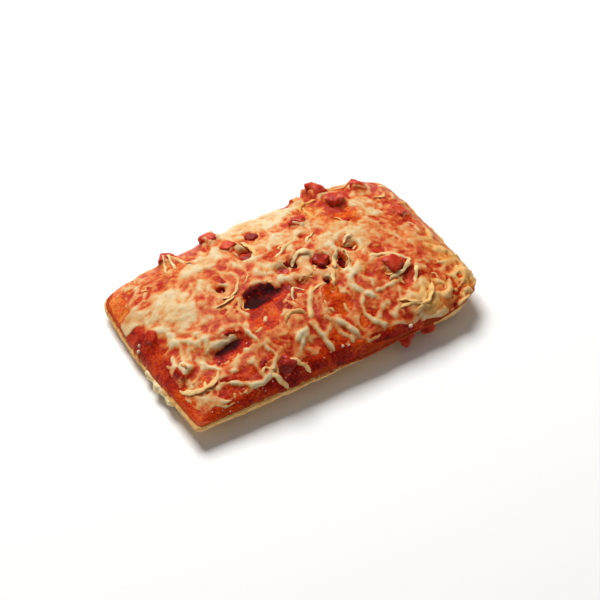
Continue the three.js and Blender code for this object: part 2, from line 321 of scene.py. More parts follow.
def make_piece(
    name: str,
    points: Array,
    triangles: Array,
    material: bpy.types.Material,
    nodes: Sequence[str] = (),
    values: Mapping[str, Array] | None = None,
) -> None:
    """Make a smooth mesh object from arrays, which rides on the root body.

    Args:
        name: The piece's name.
        points: Vertices in millimetres, shape (n, 3).
        triangles: Vertex numbers, shape (m, 3), anticlockwise seen from outside.
        material: The finish.
        nodes: Solids that the piece stands for.
        values: Numbers for each vertex, kept as attributes under their names.
    """
    mesh = bpy.data.meshes.new(name)
    mesh.vertices.add(len(points))
    mesh.vertices.foreach_set("co", (points * MM).astype(np.float32).ravel())
    mesh.loops.add(triangles.size)
    mesh.loops.foreach_set("vertex_index", triangles.astype(np.int32).ravel())
    mesh.polygons.add(len(triangles))
    mesh.polygons.foreach_set("loop_start", np.arange(0, triangles.size, 3, dtype=np.int32))
    mesh.polygons.foreach_set("use_smooth", np.ones(len(triangles), dtype=bool))
    mesh.update(calc_edges=True)
    for key, numbers in (values or {}).items():
        layer = mesh.attributes.new(key, "FLOAT", "POINT")
        layer.data.foreach_set("value", np.asarray(numbers, dtype=np.float32).ravel())
    mesh.validate()
    mesh.materials.append(material)
    piece = bpy.data.objects.new(name, mesh)
    bpy.context.scene.collection.objects.link(piece)
    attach(piece, "root")
    if nodes:
        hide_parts(*nodes)
    log.info("%s: %d triangles", name, len(triangles))


def grid_quads(columns: int, rows: int) -> Array:
    """Triangles of a grid of columns by rows points, numbered row by row within a column."""
    i, j = np.meshgrid(np.arange(columns - 1), np.arange(rows - 1), indexing="ij")
    a = (i * rows + j).ravel()
    b, c, d = a + rows, a + rows + 1, a + 1
    return np.concatenate([np.stack([a, b, c], 1), np.stack([a, c, d], 1)])


def rim_loop(columns: int, rows: int) -> Array:
    """The grid's outer points, anticlockwise from its first corner, without repeating it."""
    i, j = np.arange(columns), np.arange(rows)
    low, right = i[:-1] * rows, (columns - 1) * rows + j[:-1]
    high, left = i[:0:-1] * rows + rows - 1, j[:0:-1]
    return np.concatenate([low, right, high, left])


def shell(upper: Array, lower: Array) -> tuple[Array, Array]:
    """Close a fine upper grid with a lower grid of half its fineness.

    The wall between them joins each edge of the lower rim to two edges of the upper rim.

    Args:
        upper: Points, shape (2a + 1, 2b + 1, 3).
        lower: Points, shape (a + 1, b + 1, 3).

    Returns:
        All points and all triangles.
    """
    columns, rows = upper.shape[:2]
    start = columns * rows
    under = grid_quads(*lower.shape[:2])[:, ::-1] + start
    fine = rim_loop(columns, rows)
    coarse = rim_loop(*lower.shape[:2]) + start
    f0, f1, f2 = fine[0::2], fine[1::2], np.roll(fine, -2)[0::2]
    b0, b1 = coarse, np.roll(coarse, -1)
    wall = [np.stack([b0, b1, f1], 1), np.stack([b0, f1, f0], 1), np.stack([b1, f2, f1], 1)]
    triangles = np.concatenate([grid_quads(columns, rows), under, *wall])
    return np.concatenate([upper.reshape(-1, 3), lower.reshape(-1, 3)]), triangles


def ringed(first: Array, rings: Array, last: Array) -> tuple[Array, Array]:
    """Close rings of points with a fan at each end.

    Args:
        first: The point inside the first ring.
        rings: Points, shape (rings, spokes, 3).
        last: The point inside the last ring.

    Returns:
        All points and all triangles. Seen from the first point, the rings run anticlockwise.
    """
    count, spokes = rings.shape[:2]
    spoke = np.arange(spokes)
    after = (spoke + 1) % spokes
    ring = np.arange(count - 1)[:, None] * spokes + 1
    a, b = (ring + spoke).ravel(), (ring + spokes + spoke).ravel()
    c, d = (ring + spokes + after).ravel(), (ring + after).ravel()
    end = (count - 1) * spokes + 1
    fans = [
        np.stack([np.zeros_like(spoke), 1 + spoke, 1 + after], 1),
        np.stack([np.full_like(spoke, count * spokes + 1), end + after, end + spoke], 1),
    ]
    triangles = np.concatenate([np.stack([a, b, c], 1), np.stack([a, c, d], 1), *fans])
    return np.concatenate([first[None], rings.reshape(-1, 3), last[None]]), triangles


def joined(parts: Sequence[tuple[Array, Array]]) -> tuple[Array, Array]:
    """Put several meshes' points and triangles into one pair of arrays."""
    counts = np.cumsum([0] + [len(points) for points, _ in parts[:-1]])
    points = np.concatenate([points for points, _ in parts])
    return points, np.concatenate([faces + start for (_, faces), start in zip(parts, counts)])


# --- Shader graphs ---


class Value:
    """A number that flows through a shader: Python's operators add Math nodes to it."""

    def __init__(self, graph: "Graph", socket: bpy.types.NodeSocket) -> None:
        """Wrap an output socket of a graph's node."""
        self.graph = graph
        self.socket = socket

    def _math(self, operation: str, first: Any, second: Any) -> "Value":
        """Add a Math node on two numbers or values."""
        node = self.graph.node("ShaderNodeMath", {"operation": operation}, {0: first, 1: second})
        return Value(self.graph, node.outputs[0])

    def __add__(self, other: Any) -> "Value":
        """Sum with a number or value."""
        return self._math("ADD", self, other)

    def __radd__(self, other: Any) -> "Value":
        """Sum with a number on the left."""
        return self._math("ADD", other, self)

    def __sub__(self, other: Any) -> "Value":
        """Difference from a number or value."""
        return self._math("SUBTRACT", self, other)

    def __rsub__(self, other: Any) -> "Value":
        """Difference with a number on the left."""
        return self._math("SUBTRACT", other, self)

    def __mul__(self, other: Any) -> "Value":
        """Product with a number or value."""
        return self._math("MULTIPLY", self, other)

    def eased(self, low: float, high: float) -> "Value":
        """Smoothstep from 0 at low to 1 at high."""
        node = self.graph.node(
            "ShaderNodeMapRange",
            {"interpolation_type": "SMOOTHSTEP", "clamp": True},
            {"Value": self, "From Min": low, "From Max": high, "To Min": 0.0, "To Max": 1.0},
        )
        return Value(self.graph, node.outputs["Result"])

    def swing(self, amount: float) -> "Value":
        """Noise around 0.5 turned into a push either way, scaled by an amount."""
        return (self - 0.5) * amount

    def clamped(self) -> "Value":
        """The same number held between 0 and 1."""
        node = self.graph.node("ShaderNodeClamp", {}, {"Value": self, "Min": 0.0, "Max": 1.0})
        return Value(self.graph, node.outputs["Result"])


@dataclass(frozen=True)
class Glow:
    """How light sinks in: how much, how far in red, green and blue, and the depth in millimetres."""

    share: float
    reach: tuple[float, float, float]
    depth: float


class Graph:
    """A material's node tree, ending in one Principled shader."""

    def __init__(self, name: str) -> None:
        """Start an empty material of that name."""
        self.material = bpy.data.materials.new(name)
        self.material.use_nodes = True
        self.tree = self.material.node_tree
        self.tree.nodes.clear()
        self._coordinates: bpy.types.NodeSocket | None = None

    def node(self, kind: str, settings: Mapping[str, Any], inputs: Mapping[Any, Any]) -> bpy.types.Node:
        """Add a node: its settings first, then its sockets.

        Args:
            kind: The node's type name.
            settings: Properties by name. A ramp's stops are given as "stops".
            inputs: For each socket, by name or number, a Value, a socket or a constant.

        Returns:
            The new node.
        """
        made = self.tree.nodes.new(kind)
        for key, setting in settings.items():
            if key == "stops":
                self._set_stops(made.color_ramp, setting)
            else:
                setattr(made, key, setting)
        for key, given in inputs.items():
            if isinstance(given, Value):
                self.tree.links.new(given.socket, made.inputs[key])
            elif isinstance(given, bpy.types.NodeSocket):
                self.tree.links.new(given, made.inputs[key])
            else:
                made.inputs[key].default_value = given
        return made

    @staticmethod
    def _set_stops(ramp: bpy.types.ColorRamp, stops: Sequence[tuple[float, Colour]]) -> None:
        """Give a ramp its stops, in rising order."""
        while len(ramp.elements) < len(stops):
            ramp.elements.new(1.0)
        for element, (position, colour) in zip(ramp.elements, stops):
            element.position = position
            element.color = colour

    def coordinates(self) -> bpy.types.NodeSocket:
        """The object coordinates, in metres."""
        if self._coordinates is None:
            self._coordinates = self.node("ShaderNodeTexCoord", {}, {}).outputs["Object"]
        return self._coordinates

    def attribute(self, name: str) -> Value:
        """A number that the mesh keeps for each vertex."""
        node = self.node("ShaderNodeAttribute", {"attribute_name": name}, {})
        return Value(self, node.outputs["Fac"])

    def noise(self, size: float, detail: float = 2.0, roughness: float = 0.5, warp: float = 0.0) -> Value:
        """Noise with features of a size in millimetres, around a middle of 0.5."""
        inputs = {"Vector": self.coordinates(), "Scale": 1.0 / (size * MM), "Detail": detail}
        inputs |= {"Roughness": roughness, "Distortion": warp}
        return Value(self, self.node("ShaderNodeTexNoise", {}, inputs).outputs["Fac"])

    def ramp(self, value: Value, stops: Sequence[tuple[float, Colour]]) -> bpy.types.NodeSocket:
        """Colours along a value from 0 to 1."""
        return self.node("ShaderNodeValToRGB", {"stops": stops}, {"Fac": value}).outputs["Color"]

    def mixed(self, share: Value, first: Any, second: Any) -> bpy.types.NodeSocket:
        """Blend of two colours by a value."""
        node = self.node("ShaderNodeMix", {"data_type": "RGBA"}, {0: share, 6: first, 7: second})
        return node.outputs[2]

    def bump(self, height: Value, depth: float, strength: float) -> bpy.types.NodeSocket:
        """Shading relief from a height of 0 to 1 that stands for a depth in millimetres."""
        relief = {"Height": height, "Distance": depth * MM, "Strength": strength}
        return self.node("ShaderNodeBump", {}, relief).outputs["Normal"]

    def finish(
        self, colour: Any, roughness: Any, specular: float, glow: Glow | None = None, normal: Any = None
    ) -> bpy.types.Material:
        """End the tree in a Principled shader.

        Args:
            colour: Its base colour.
            roughness: Its roughness.
            specular: Its specular level.
            glow: How light sinks in, if it does.
            normal: Its relief, if it has one.

        Returns:
            The material.
        """
        inputs = {"Base Color": colour, "Roughness": roughness, "Specular IOR Level": specular}
        if glow is not None:
            inputs |= {"Subsurface Weight": glow.share, "Subsurface Radius": glow.reach}
            inputs["Subsurface Scale"] = glow.depth * MM
        if normal is not None:
            inputs["Normal"] = normal
        shader = self.node("ShaderNodeBsdfPrincipled", {}, inputs)
        self.node("ShaderNodeOutputMaterial", {}, {"Surface": shader.outputs[0]})
        return self.material


# --- Finishes ---


@dataclass(frozen=True)
class CrustFinish:
    """Baked dough: pale crumb where torn, golden at the edge, oily orange beside the sauce."""

    crumb: Colour = srgb(238, 218, 172)
    golden: Colour = srgb(234, 180, 108)
    toasted: Colour = srgb(158, 92, 42)
    oily: Colour = srgb(172, 60, 18)
    roughness: float = 0.62
    specular: float = 0.1
    glow: Glow = Glow(0.04, (1.0, 0.7, 0.5), 1.0)

    def build(self) -> bpy.types.Material:
        """Mix the colours by the mesh's toast and oil, broken up by noise."""
        g = Graph("crust")
        broad, fine = g.noise(7.0, 3.0, 0.6), g.noise(0.9, 3.0, 0.6)
        toast = (g.attribute("toast") + broad.swing(0.7) + fine.swing(0.35)).clamped()
        stops = [(0.0, self.crumb), (0.5, self.golden), (1.0, self.toasted)]
        patchy = g.noise(2.4, 3.0, 0.65)
        oil = (g.attribute("oil") + patchy.swing(1.1) + fine.swing(0.9)).eased(0.3, 0.8)
        relief = g.noise(1.6, 4.0, 0.65) + g.noise(0.45, 2.0, 0.5) * 0.4
        colour = g.mixed(oil, g.ramp(toast, stops), self.oily)
        roughness = self.roughness - oil * 0.2 + fine.swing(0.2)
        return g.finish(colour, roughness, self.specular, self.glow, g.bump(relief, 0.35, 0.9))


@dataclass(frozen=True)
class SauceFinish:
    """Baked tomato sauce: deep red where thick, orange where thin and oily, with fine pulp, and a
    near-black painted shade where its oil is lowest, in the hollows.
    """

    hollow_shade: Colour = srgb(52, 4, 1)
    dark: Colour = srgb(112, 12, 2)
    red: Colour = srgb(172, 34, 6)
    orange: Colour = srgb(212, 76, 14)
    pale: Colour = srgb(224, 130, 54)
    roughness: float = 0.28
    specular: float = 0.1
    glow: Glow = Glow(0.1, (1.0, 0.25, 0.1), 1.5)

    def build(self) -> bpy.types.Material:
        """Colour by the mesh's oiliness and by pulp noise at three sizes."""
        g = Graph("sauce")
        broad, pulp, grain = g.noise(5.0, 3.0, 0.6), g.noise(1.3, 3.0, 0.65), g.noise(0.45, 2.0, 0.6)
        oil = g.attribute("oil")
        tone = oil + broad.swing(0.8) + pulp.swing(0.8) + grain.swing(0.6)
        # The lowest stop is the near-black painted shade of the hollows.
        stops = [(0.0, self.hollow_shade), (0.2, self.dark), (0.45, self.red), (0.72, self.orange)]
        stops.append((1.0, self.pale))
        roughness = self.roughness + pulp.swing(0.3) + (1.0 - oil.eased(0.1, 0.45)) * 0.4
        relief = g.bump(pulp + grain * 0.45, 0.5, 0.9)
        return g.finish(g.ramp(tone.clamped(), stops), roughness, self.specular, self.glow, relief)


@dataclass(frozen=True)
class CheeseFinish:
    """Melted cheese: cream on the ridges, stained by sauce where it is thin, and darker where it lies
    low, partly as sauce stain and partly as painted shade.
    """

    name: str = "melted_cheese"
    soaked: Colour = srgb(176, 38, 8)
    stained: Colour = srgb(206, 84, 32)
    peach: Colour = srgb(214, 136, 78)
    cream: Colour = srgb(214, 174, 120)
    pale: Colour = srgb(220, 202, 162)
    gold: Colour = srgb(228, 164, 72)
    toasted: Colour = srgb(164, 84, 26)
    roughness: float = 0.38
    stain_scale: float = 2.6
    specular: float = 0.18
    glow: Glow = Glow(0.12, (1.0, 0.6, 0.35), 1.2)

    def build(self) -> bpy.types.Material:
        """Colour by the mesh's creaminess and gold, with mottled stains."""
        g = Graph(self.name)
        mottle, fine = g.noise(self.stain_scale, 3.0, 0.6, 0.4), g.noise(0.6, 2.0, 0.6)
        fibre = g.noise(1.1, 1.0, 0.5, 3.5)
        tint = g.attribute("cream") + mottle.swing(0.7) + fine.swing(0.4) + fibre.swing(0.35)
        stops = [(0.0, self.soaked), (0.22, self.stained), (0.45, self.peach), (0.7, self.cream)]
        stops.append((1.0, self.pale))
        gold = (g.attribute("gold") * (0.5 + tint * 0.7) + mottle.swing(0.7)).clamped()
        speck = g.noise(1.6, 3.0, 0.65).eased(0.56, 0.68) * g.attribute("gold").eased(0.45, 0.7)
        melted = g.mixed(gold, g.ramp(tint.clamped(), stops), self.gold)
        colour, roughness = g.mixed(speck, melted, self.toasted), self.roughness + fine.swing(0.3)
        relief = g.bump(fine * 0.6 + mottle * 0.5 + fibre * 0.7, 0.3, 0.9)
        return g.finish(colour, roughness, self.specular, self.glow, relief)


@dataclass(frozen=True)
class HamFinish:
    """Diced cooked ham: brick red with paler flesh and browned edges."""

    deep: Colour = srgb(132, 26, 12)
    brick: Colour = srgb(190, 50, 26)
    flesh: Colour = srgb(212, 88, 50)
    roughness: float = 0.36
    specular: float = 0.24
    glow: Glow = Glow(0.3, (1.0, 0.25, 0.12), 2.5)

    def build(self) -> bpy.types.Material:
        """Colour by streaky noise and by how far a point lies from the cube's middle."""
        g = Graph("ham")
        streak, fine = g.noise(2.6, 3.0, 0.6, 0.8), g.noise(0.7, 3.0, 0.6)
        tone = g.attribute("flesh") + streak.swing(0.9) + fine.swing(0.3)
        stops = [(0.1, self.deep), (0.45, self.brick), (0.95, self.flesh)]
        roughness = self.roughness + fine.swing(0.35)
        relief = g.bump(fine + streak * 0.6, 0.25, 0.8)
        return g.finish(g.ramp(tone.clamped(), stops), roughness, self.specular, self.glow, relief)


@dataclass(frozen=True)
class CrumbFinish:
    """Small pale grains of hard cheese and crumb."""

    pale: Colour = srgb(222, 204, 178)
    warm: Colour = srgb(206, 152, 112)
    roughness: float = 0.6
    specular: float = 0.5
    glow: Glow = Glow(0.05, (1.0, 0.7, 0.5), 0.5)

    def build(self) -> bpy.types.Material:
        """Two tones mixed by noise."""
        g = Graph("pale_crumb")
        colour = g.mixed(g.noise(1.5).eased(0.35, 0.7), self.pale, self.warm)
        return g.finish(colour, self.roughness, self.specular, self.glow)


# --- Toppings as heights over the bread ---


# Listed shreds that lift more than this lie loose on the cheese; the others have melted into it.
LOOSE_LIFT = 1.2


class Batch(Enum):
    """A batch of shreds: how many are tried, the scale of their thickness, narrowest and widest."""

    MELTED = (560, 0.42, 1.7, 3.0)
    SOFT = (420, 0.6, 1.6, 2.8)
    CRISP = (260, 0.42, 1.4, 2.4)
    STRANDS = (760, 0.55, 0.7, 1.2)


def random_course(
    rng: np.random.Generator, shortest: float, longest: float, turn: float, sway: float
) -> tuple[float, float, float, float]:
    """A shred's heading, length, turn and sway by chance."""
    return rng.uniform(0, 360), rng.uniform(shortest, longest), rng.normal(0, turn), rng.normal(0, sway)


@dataclass(frozen=True)
class Shred:
    """One shred of grated cheese, as the path of its middle line seen from above.

    The heading changes steadily by turn over the length, swings by sway once each way, and
    kinks by a few degrees every few millimetres.
    """

    KINK = 13.0
    KINK_LENGTH = 4.5

    x: float
    y: float
    heading: float
    length: float
    turn: float
    sway: float
    width: float
    lift: float
    cream: float
    gold: float = 0.0

    def path(self, step: float = 0.35) -> Array:
        """Places along the shred, shape (n, 2), by summing steps in the heading's direction."""
        count = max(6, int(self.length / step))
        s = np.linspace(0.0, 1.0, count)
        kink = np.sin(2 * math.pi * s * self.length / self.KINK_LENGTH + 1.7 * self.x + self.y)
        sway = self.sway * np.sin(2 * math.pi * s)
        angle = np.radians(self.heading + self.turn * s + sway + self.KINK * kink)
        steps = np.stack([np.cos(angle), np.sin(angle)], 1) * self.length / (count - 1)
        return np.array([self.x, self.y]) + np.concatenate([np.zeros((1, 2)), np.cumsum(steps[:-1], 0)])


def hand_laid_shreds() -> list[Shred]:
    """The shreds that give the slice its face.

    Returns:
        Shreds from rows of x, y, heading, length, turn, sway, width, lift, cream and gold.
    """
    rows = [
        # Front middle: a hook, a long diagonal shred and a thin arch over the hollow.
        (-20, -27.5, 62, 13, -135, 0, 2.3, 1.6, 0.9, 0.55),
        (1, -15, 228, 19, 18, 0, 2.7, 1.1, 0.8, 0.35),
        (-10.5, -30, -85, 17, 20, 10, 2.8, 0.5, 0.3, 0.1),
        (-11, -19, 65, 14, -95, 25, 1.1, 2.4, 0.85, 0.0),
        (-4, -31, -45, 19, -8, 8, 3.2, 0.6, 0.38, 0.0), (1, -33, -38, 10, -10, 0, 2.2, 0.7, 0.35, 0.0),
        (20, -29, 220, 22, 130, -8, 2.8, 1.0, 0.5, 0.0),
        (20.5, -29, -40, 5, -20, 0, 2.4, 0.8, 0.9, 0.0),
        (-23, -15, -35, 7, 0, 10, 1.5, 1.0, 0.85, 0.1), (-35, -25, 15, 5, 0, 0, 1.5, 0.3, 0.7, 0.1),
        (-28, -22, 45, 4, 0, 0, 2.2, 0.6, 0.8, 0.2), (-20, -36, 30, 9, -30, 0, 2.5, 0.8, 0.85, 0.0),
        (-19, -39, 60, 8, -60, 0, 2.0, 0.8, 0.8, 0.0),
        # Middle: arches over the dark holes.
        (15, -12, 50, 13, 0, 12, 2.5, 2.2, 0.85, 0.1), (26, -2, -100, 14, -12, 0, 2.3, 1.8, 0.8, 0.15),
        (0, 1, 50, 15, -150, 0, 2.5, 2.0, 0.9, 0.0), (9.5, -21, 70, 10, -10, 0, 2.3, 1.4, 0.85, 0.25),
        (28, 1, 60, 7, -120, 0, 1.5, 1.8, 1.0, 0.0), (-5, 8, 10, 18, 20, 10, 1.8, 1.2, 0.9, 0.0),
        (12, 8, 60, 10, -50, 0, 1.6, 1.2, 0.9, 0.05), (-43, -3, -12, 20, 75, 0, 1.5, 1.3, 0.95, 0.25),
        (-38, -3, 15, 12, 20, 0, 1.3, 1.2, 0.95, 0.25), (-18, 24, -80, 9, 0, 20, 1.4, 1.0, 0.85, 0.1),
        (-12, 28, -60, 12, -50, 0, 2.0, 1.2, 0.85, 0.2),
        # Right: a forked shred round a ham cube, a grain on end and yellow curls at the front.
        (33, -12, -25, 20, 0, 8, 1.9, 1.4, 0.85, 0.0), (52, -19, 218, 20, -25, 10, 1.9, 2.0, 0.85, 0.1),
        (46, -33, 60, 11, -4, 0, 1.7, 2.2, 0.95, 0.3), (25, -30, -5, 18, 25, 0, 2.2, 1.0, 0.7, 0.2),
        (33, -38, -8, 26, 35, -35, 2.2, 1.8, 0.9, 0.5),
        (31, -40.5, -12, 17, -10, 10, 1.8, 1.2, 0.85, 0.4),
        (36, -45, 5, 13, 50, 0, 1.8, 1.4, 0.85, 0.45), (55, -44, 20, 12, 60, 0, 2.6, 1.0, 0.8, 0.55),
        (64, -46, 60, 10, -120, 0, 3.0, 0.8, 0.8, 0.5), (76, -30, 100, 16, 20, 0, 2.6, 0.6, 0.7, 0.6),
        (75.5, -44, 80, 13, 60, 20, 3.4, 1.0, 0.85, 0.5),
        (70, -47.5, 20, 9, 80, 0, 3.2, 0.9, 0.85, 0.5),
        (77.5, -20, -95, 12, 30, 25, 3.2, 0.9, 0.8, 0.6),
        (60, -47.5, -10, 10, 40, 0, 3.0, 0.8, 0.75, 0.5),
        (77, 2, -85, 14, -10, 20, 2.6, 0.7, 0.7, 0.6), (75, 22, -80, 15, -15, 15, 2.4, 0.6, 0.6, 0.5),
        # Front left: a ring, a fine curve along the edge and blunt ends on the sauce.
        (-75, -27, -80, 24, 135, 0, 2.4, 1.2, 0.85, 0.15), (-77, 4, 50, 6, 70, 0, 1.2, 0.5, 0.85, 0.0),
        (-74, -12, -75, 8, 40, 0, 1.4, 0.5, 0.8, 0.0), (-70, -20, 100, 9, -40, 0, 1.8, 0.6, 0.8, 0.0),
        (-70, -39, -65, 20, 75, 0, 1.4, 0.8, 0.55, 0.1), (-62, -22, -70, 20, 45, 0, 2.0, 0.6, 0.6, 0.0),
        (-57, -38, -20, 32, 45, -25, 2.7, 0.8, 0.6, 0.0),
        (-38, -43, -50, 9, -10, 0, 2.6, 1.2, 0.85, 0.0),
        (-31, -40.5, -15, 14, -50, 0, 2.3, 1.2, 0.85, 0.1),
        (-29, -41, 200, 8, 30, 0, 1.6, 1.0, 0.8, 0.0),
        (-38, -14, -85, 28, 25, 0, 1.6, 1.0, 0.7, 0.05), (-52, -44, -70, 6, 0, 0, 1.5, 0.3, 0.7, 0.0),
        # Back: two golden loops beside the tall ham, a string to the next cube, strands at the left.
        (39, 45, -14, 19, -8, 0, 0.9, 1.3, 0.85, 0.2), (-48, 33, 75, 12, -30, 0, 1.6, 1.6, 0.85, 0.1),
        (-43.5, 32, 85, 13, -20, 0, 1.5, 1.8, 0.9, 0.1), (-38, 33, 100, 9, 30, 0, 1.5, 1.3, 0.8, 0.1),
        (25, 34, 60, 12, -100, 0, 1.6, 1.4, 0.7, 0.7), (26, 23, 80, 14, 10, 20, 1.5, 1.2, 0.75, 0.6),
    ]
    return [Shred(*row) for row in rows]


@dataclass(frozen=True)
class HamSeat:
    """Where a ham cube sits: its middle, its three axes as rows, and its half sizes."""

    name: str
    centre: Array
    axes: Array
    half: Array
    shown: bool

    # How far below the surface the middle of a cube on the top may lie, cubes that lie in deep
    # sauce and are painted darker, partly as soaked in sauce and partly as painted shade where they
    # sit deep in a hollow, those that the sauce covers, and how much deeper than their
    # solids the cubes on the top have sunk.
    NEAR_TOP = 3.0
    SOAK_AND_SHADE = 0.35
    SUNK = 0.7
    SOAKED_AND_SHADED = (4, 12, 14, 17)
    SAUCED = (6, 13, 15, 16, 19, 20, 21, 22, 23, 24)
    EXTRA_DEPTH = {
        6: 1.2, 12: 1.2, 13: 3, 14: 7.8, 15: 0.3, 16: 0.5, 18: 1.5,
        19: 3, 20: 3, 21: 3, 22: 2, 23: 2.5, 24: 1.5,
    }

    @classmethod
    def of(cls, solid: bpy.types.Object, form: SliceForm) -> "HamSeat":
        """Read a seat from a solid, whose largest triangles give the directions of its faces.

        Args:
            solid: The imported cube.
            form: The slice, into whose surface a cube on the top has sunk a little further.

        Returns:
            The seat in millimetres.
        """
        mesh = solid.data
        count = len(mesh.polygons)
        areas, normals = np.zeros(count, np.float32), np.zeros(count * 3, np.float32)
        mesh.polygons.foreach_get("area", areas)
        mesh.polygons.foreach_get("normal", normals)
        places = np.zeros(len(mesh.vertices) * 3, np.float32)
        mesh.vertices.foreach_get("co", places)
        normals, places = normals.reshape(-1, 3), places.reshape(-1, 3) / MM
        order = np.argsort(-areas)
        first = normals[order[0]]
        across = np.abs(normals[order] @ first) < 0.2
        second = normals[order[across][0]]
        second = second - first * (second @ first)
        second = second / np.linalg.norm(second)
        axes = np.stack([first, second, np.cross(first, second)]).astype(float)
        local = places @ axes.T
        low, high = local.min(0), local.max(0)
        centre = ((low + high) / 2) @ axes
        number = int(solid.name[-2:])
        if centre[2] > form.top(centre[:1], centre[1:2])[0] - cls.NEAR_TOP:
            depth = cls.EXTRA_DEPTH.get(number, cls.SUNK)
            centre = centre - form.normal(centre[:1], centre[1:2])[0] * depth
        return cls(solid.name, centre, axes, (high - low) / 2, number not in cls.SAUCED)

    @property
    def soak_and_shade(self) -> float:
        """How much darker the cube is painted: for lying in sauce and oil, and as painted shade in a deep
        hollow.
        """
        return self.SOAK_AND_SHADE if int(self.name[-2:]) in self.SOAKED_AND_SHADED else 0.0

    def height_over(self, form: SliceForm, x: Array, y: Array) -> Array:
        """Height of the cube's top above the bread at each place, or 0 where it isn't.

        Args:
            form: The slice.
            x: Places, any shape.
            y: Places, the same shape.

        Returns:
            Heights along the bread's outward direction.
        """
        heights = np.linspace(0.0, 9.0, 46)
        base, normal = form.lifted(x, y, 0.0), form.normal(x, y)
        points = base[..., None, :] + normal[..., None, :] * heights[:, None]
        inside = (np.abs((points - self.centre) @ self.axes.T) < self.half * 0.96).all(-1)
        return (inside * heights).max(-1)


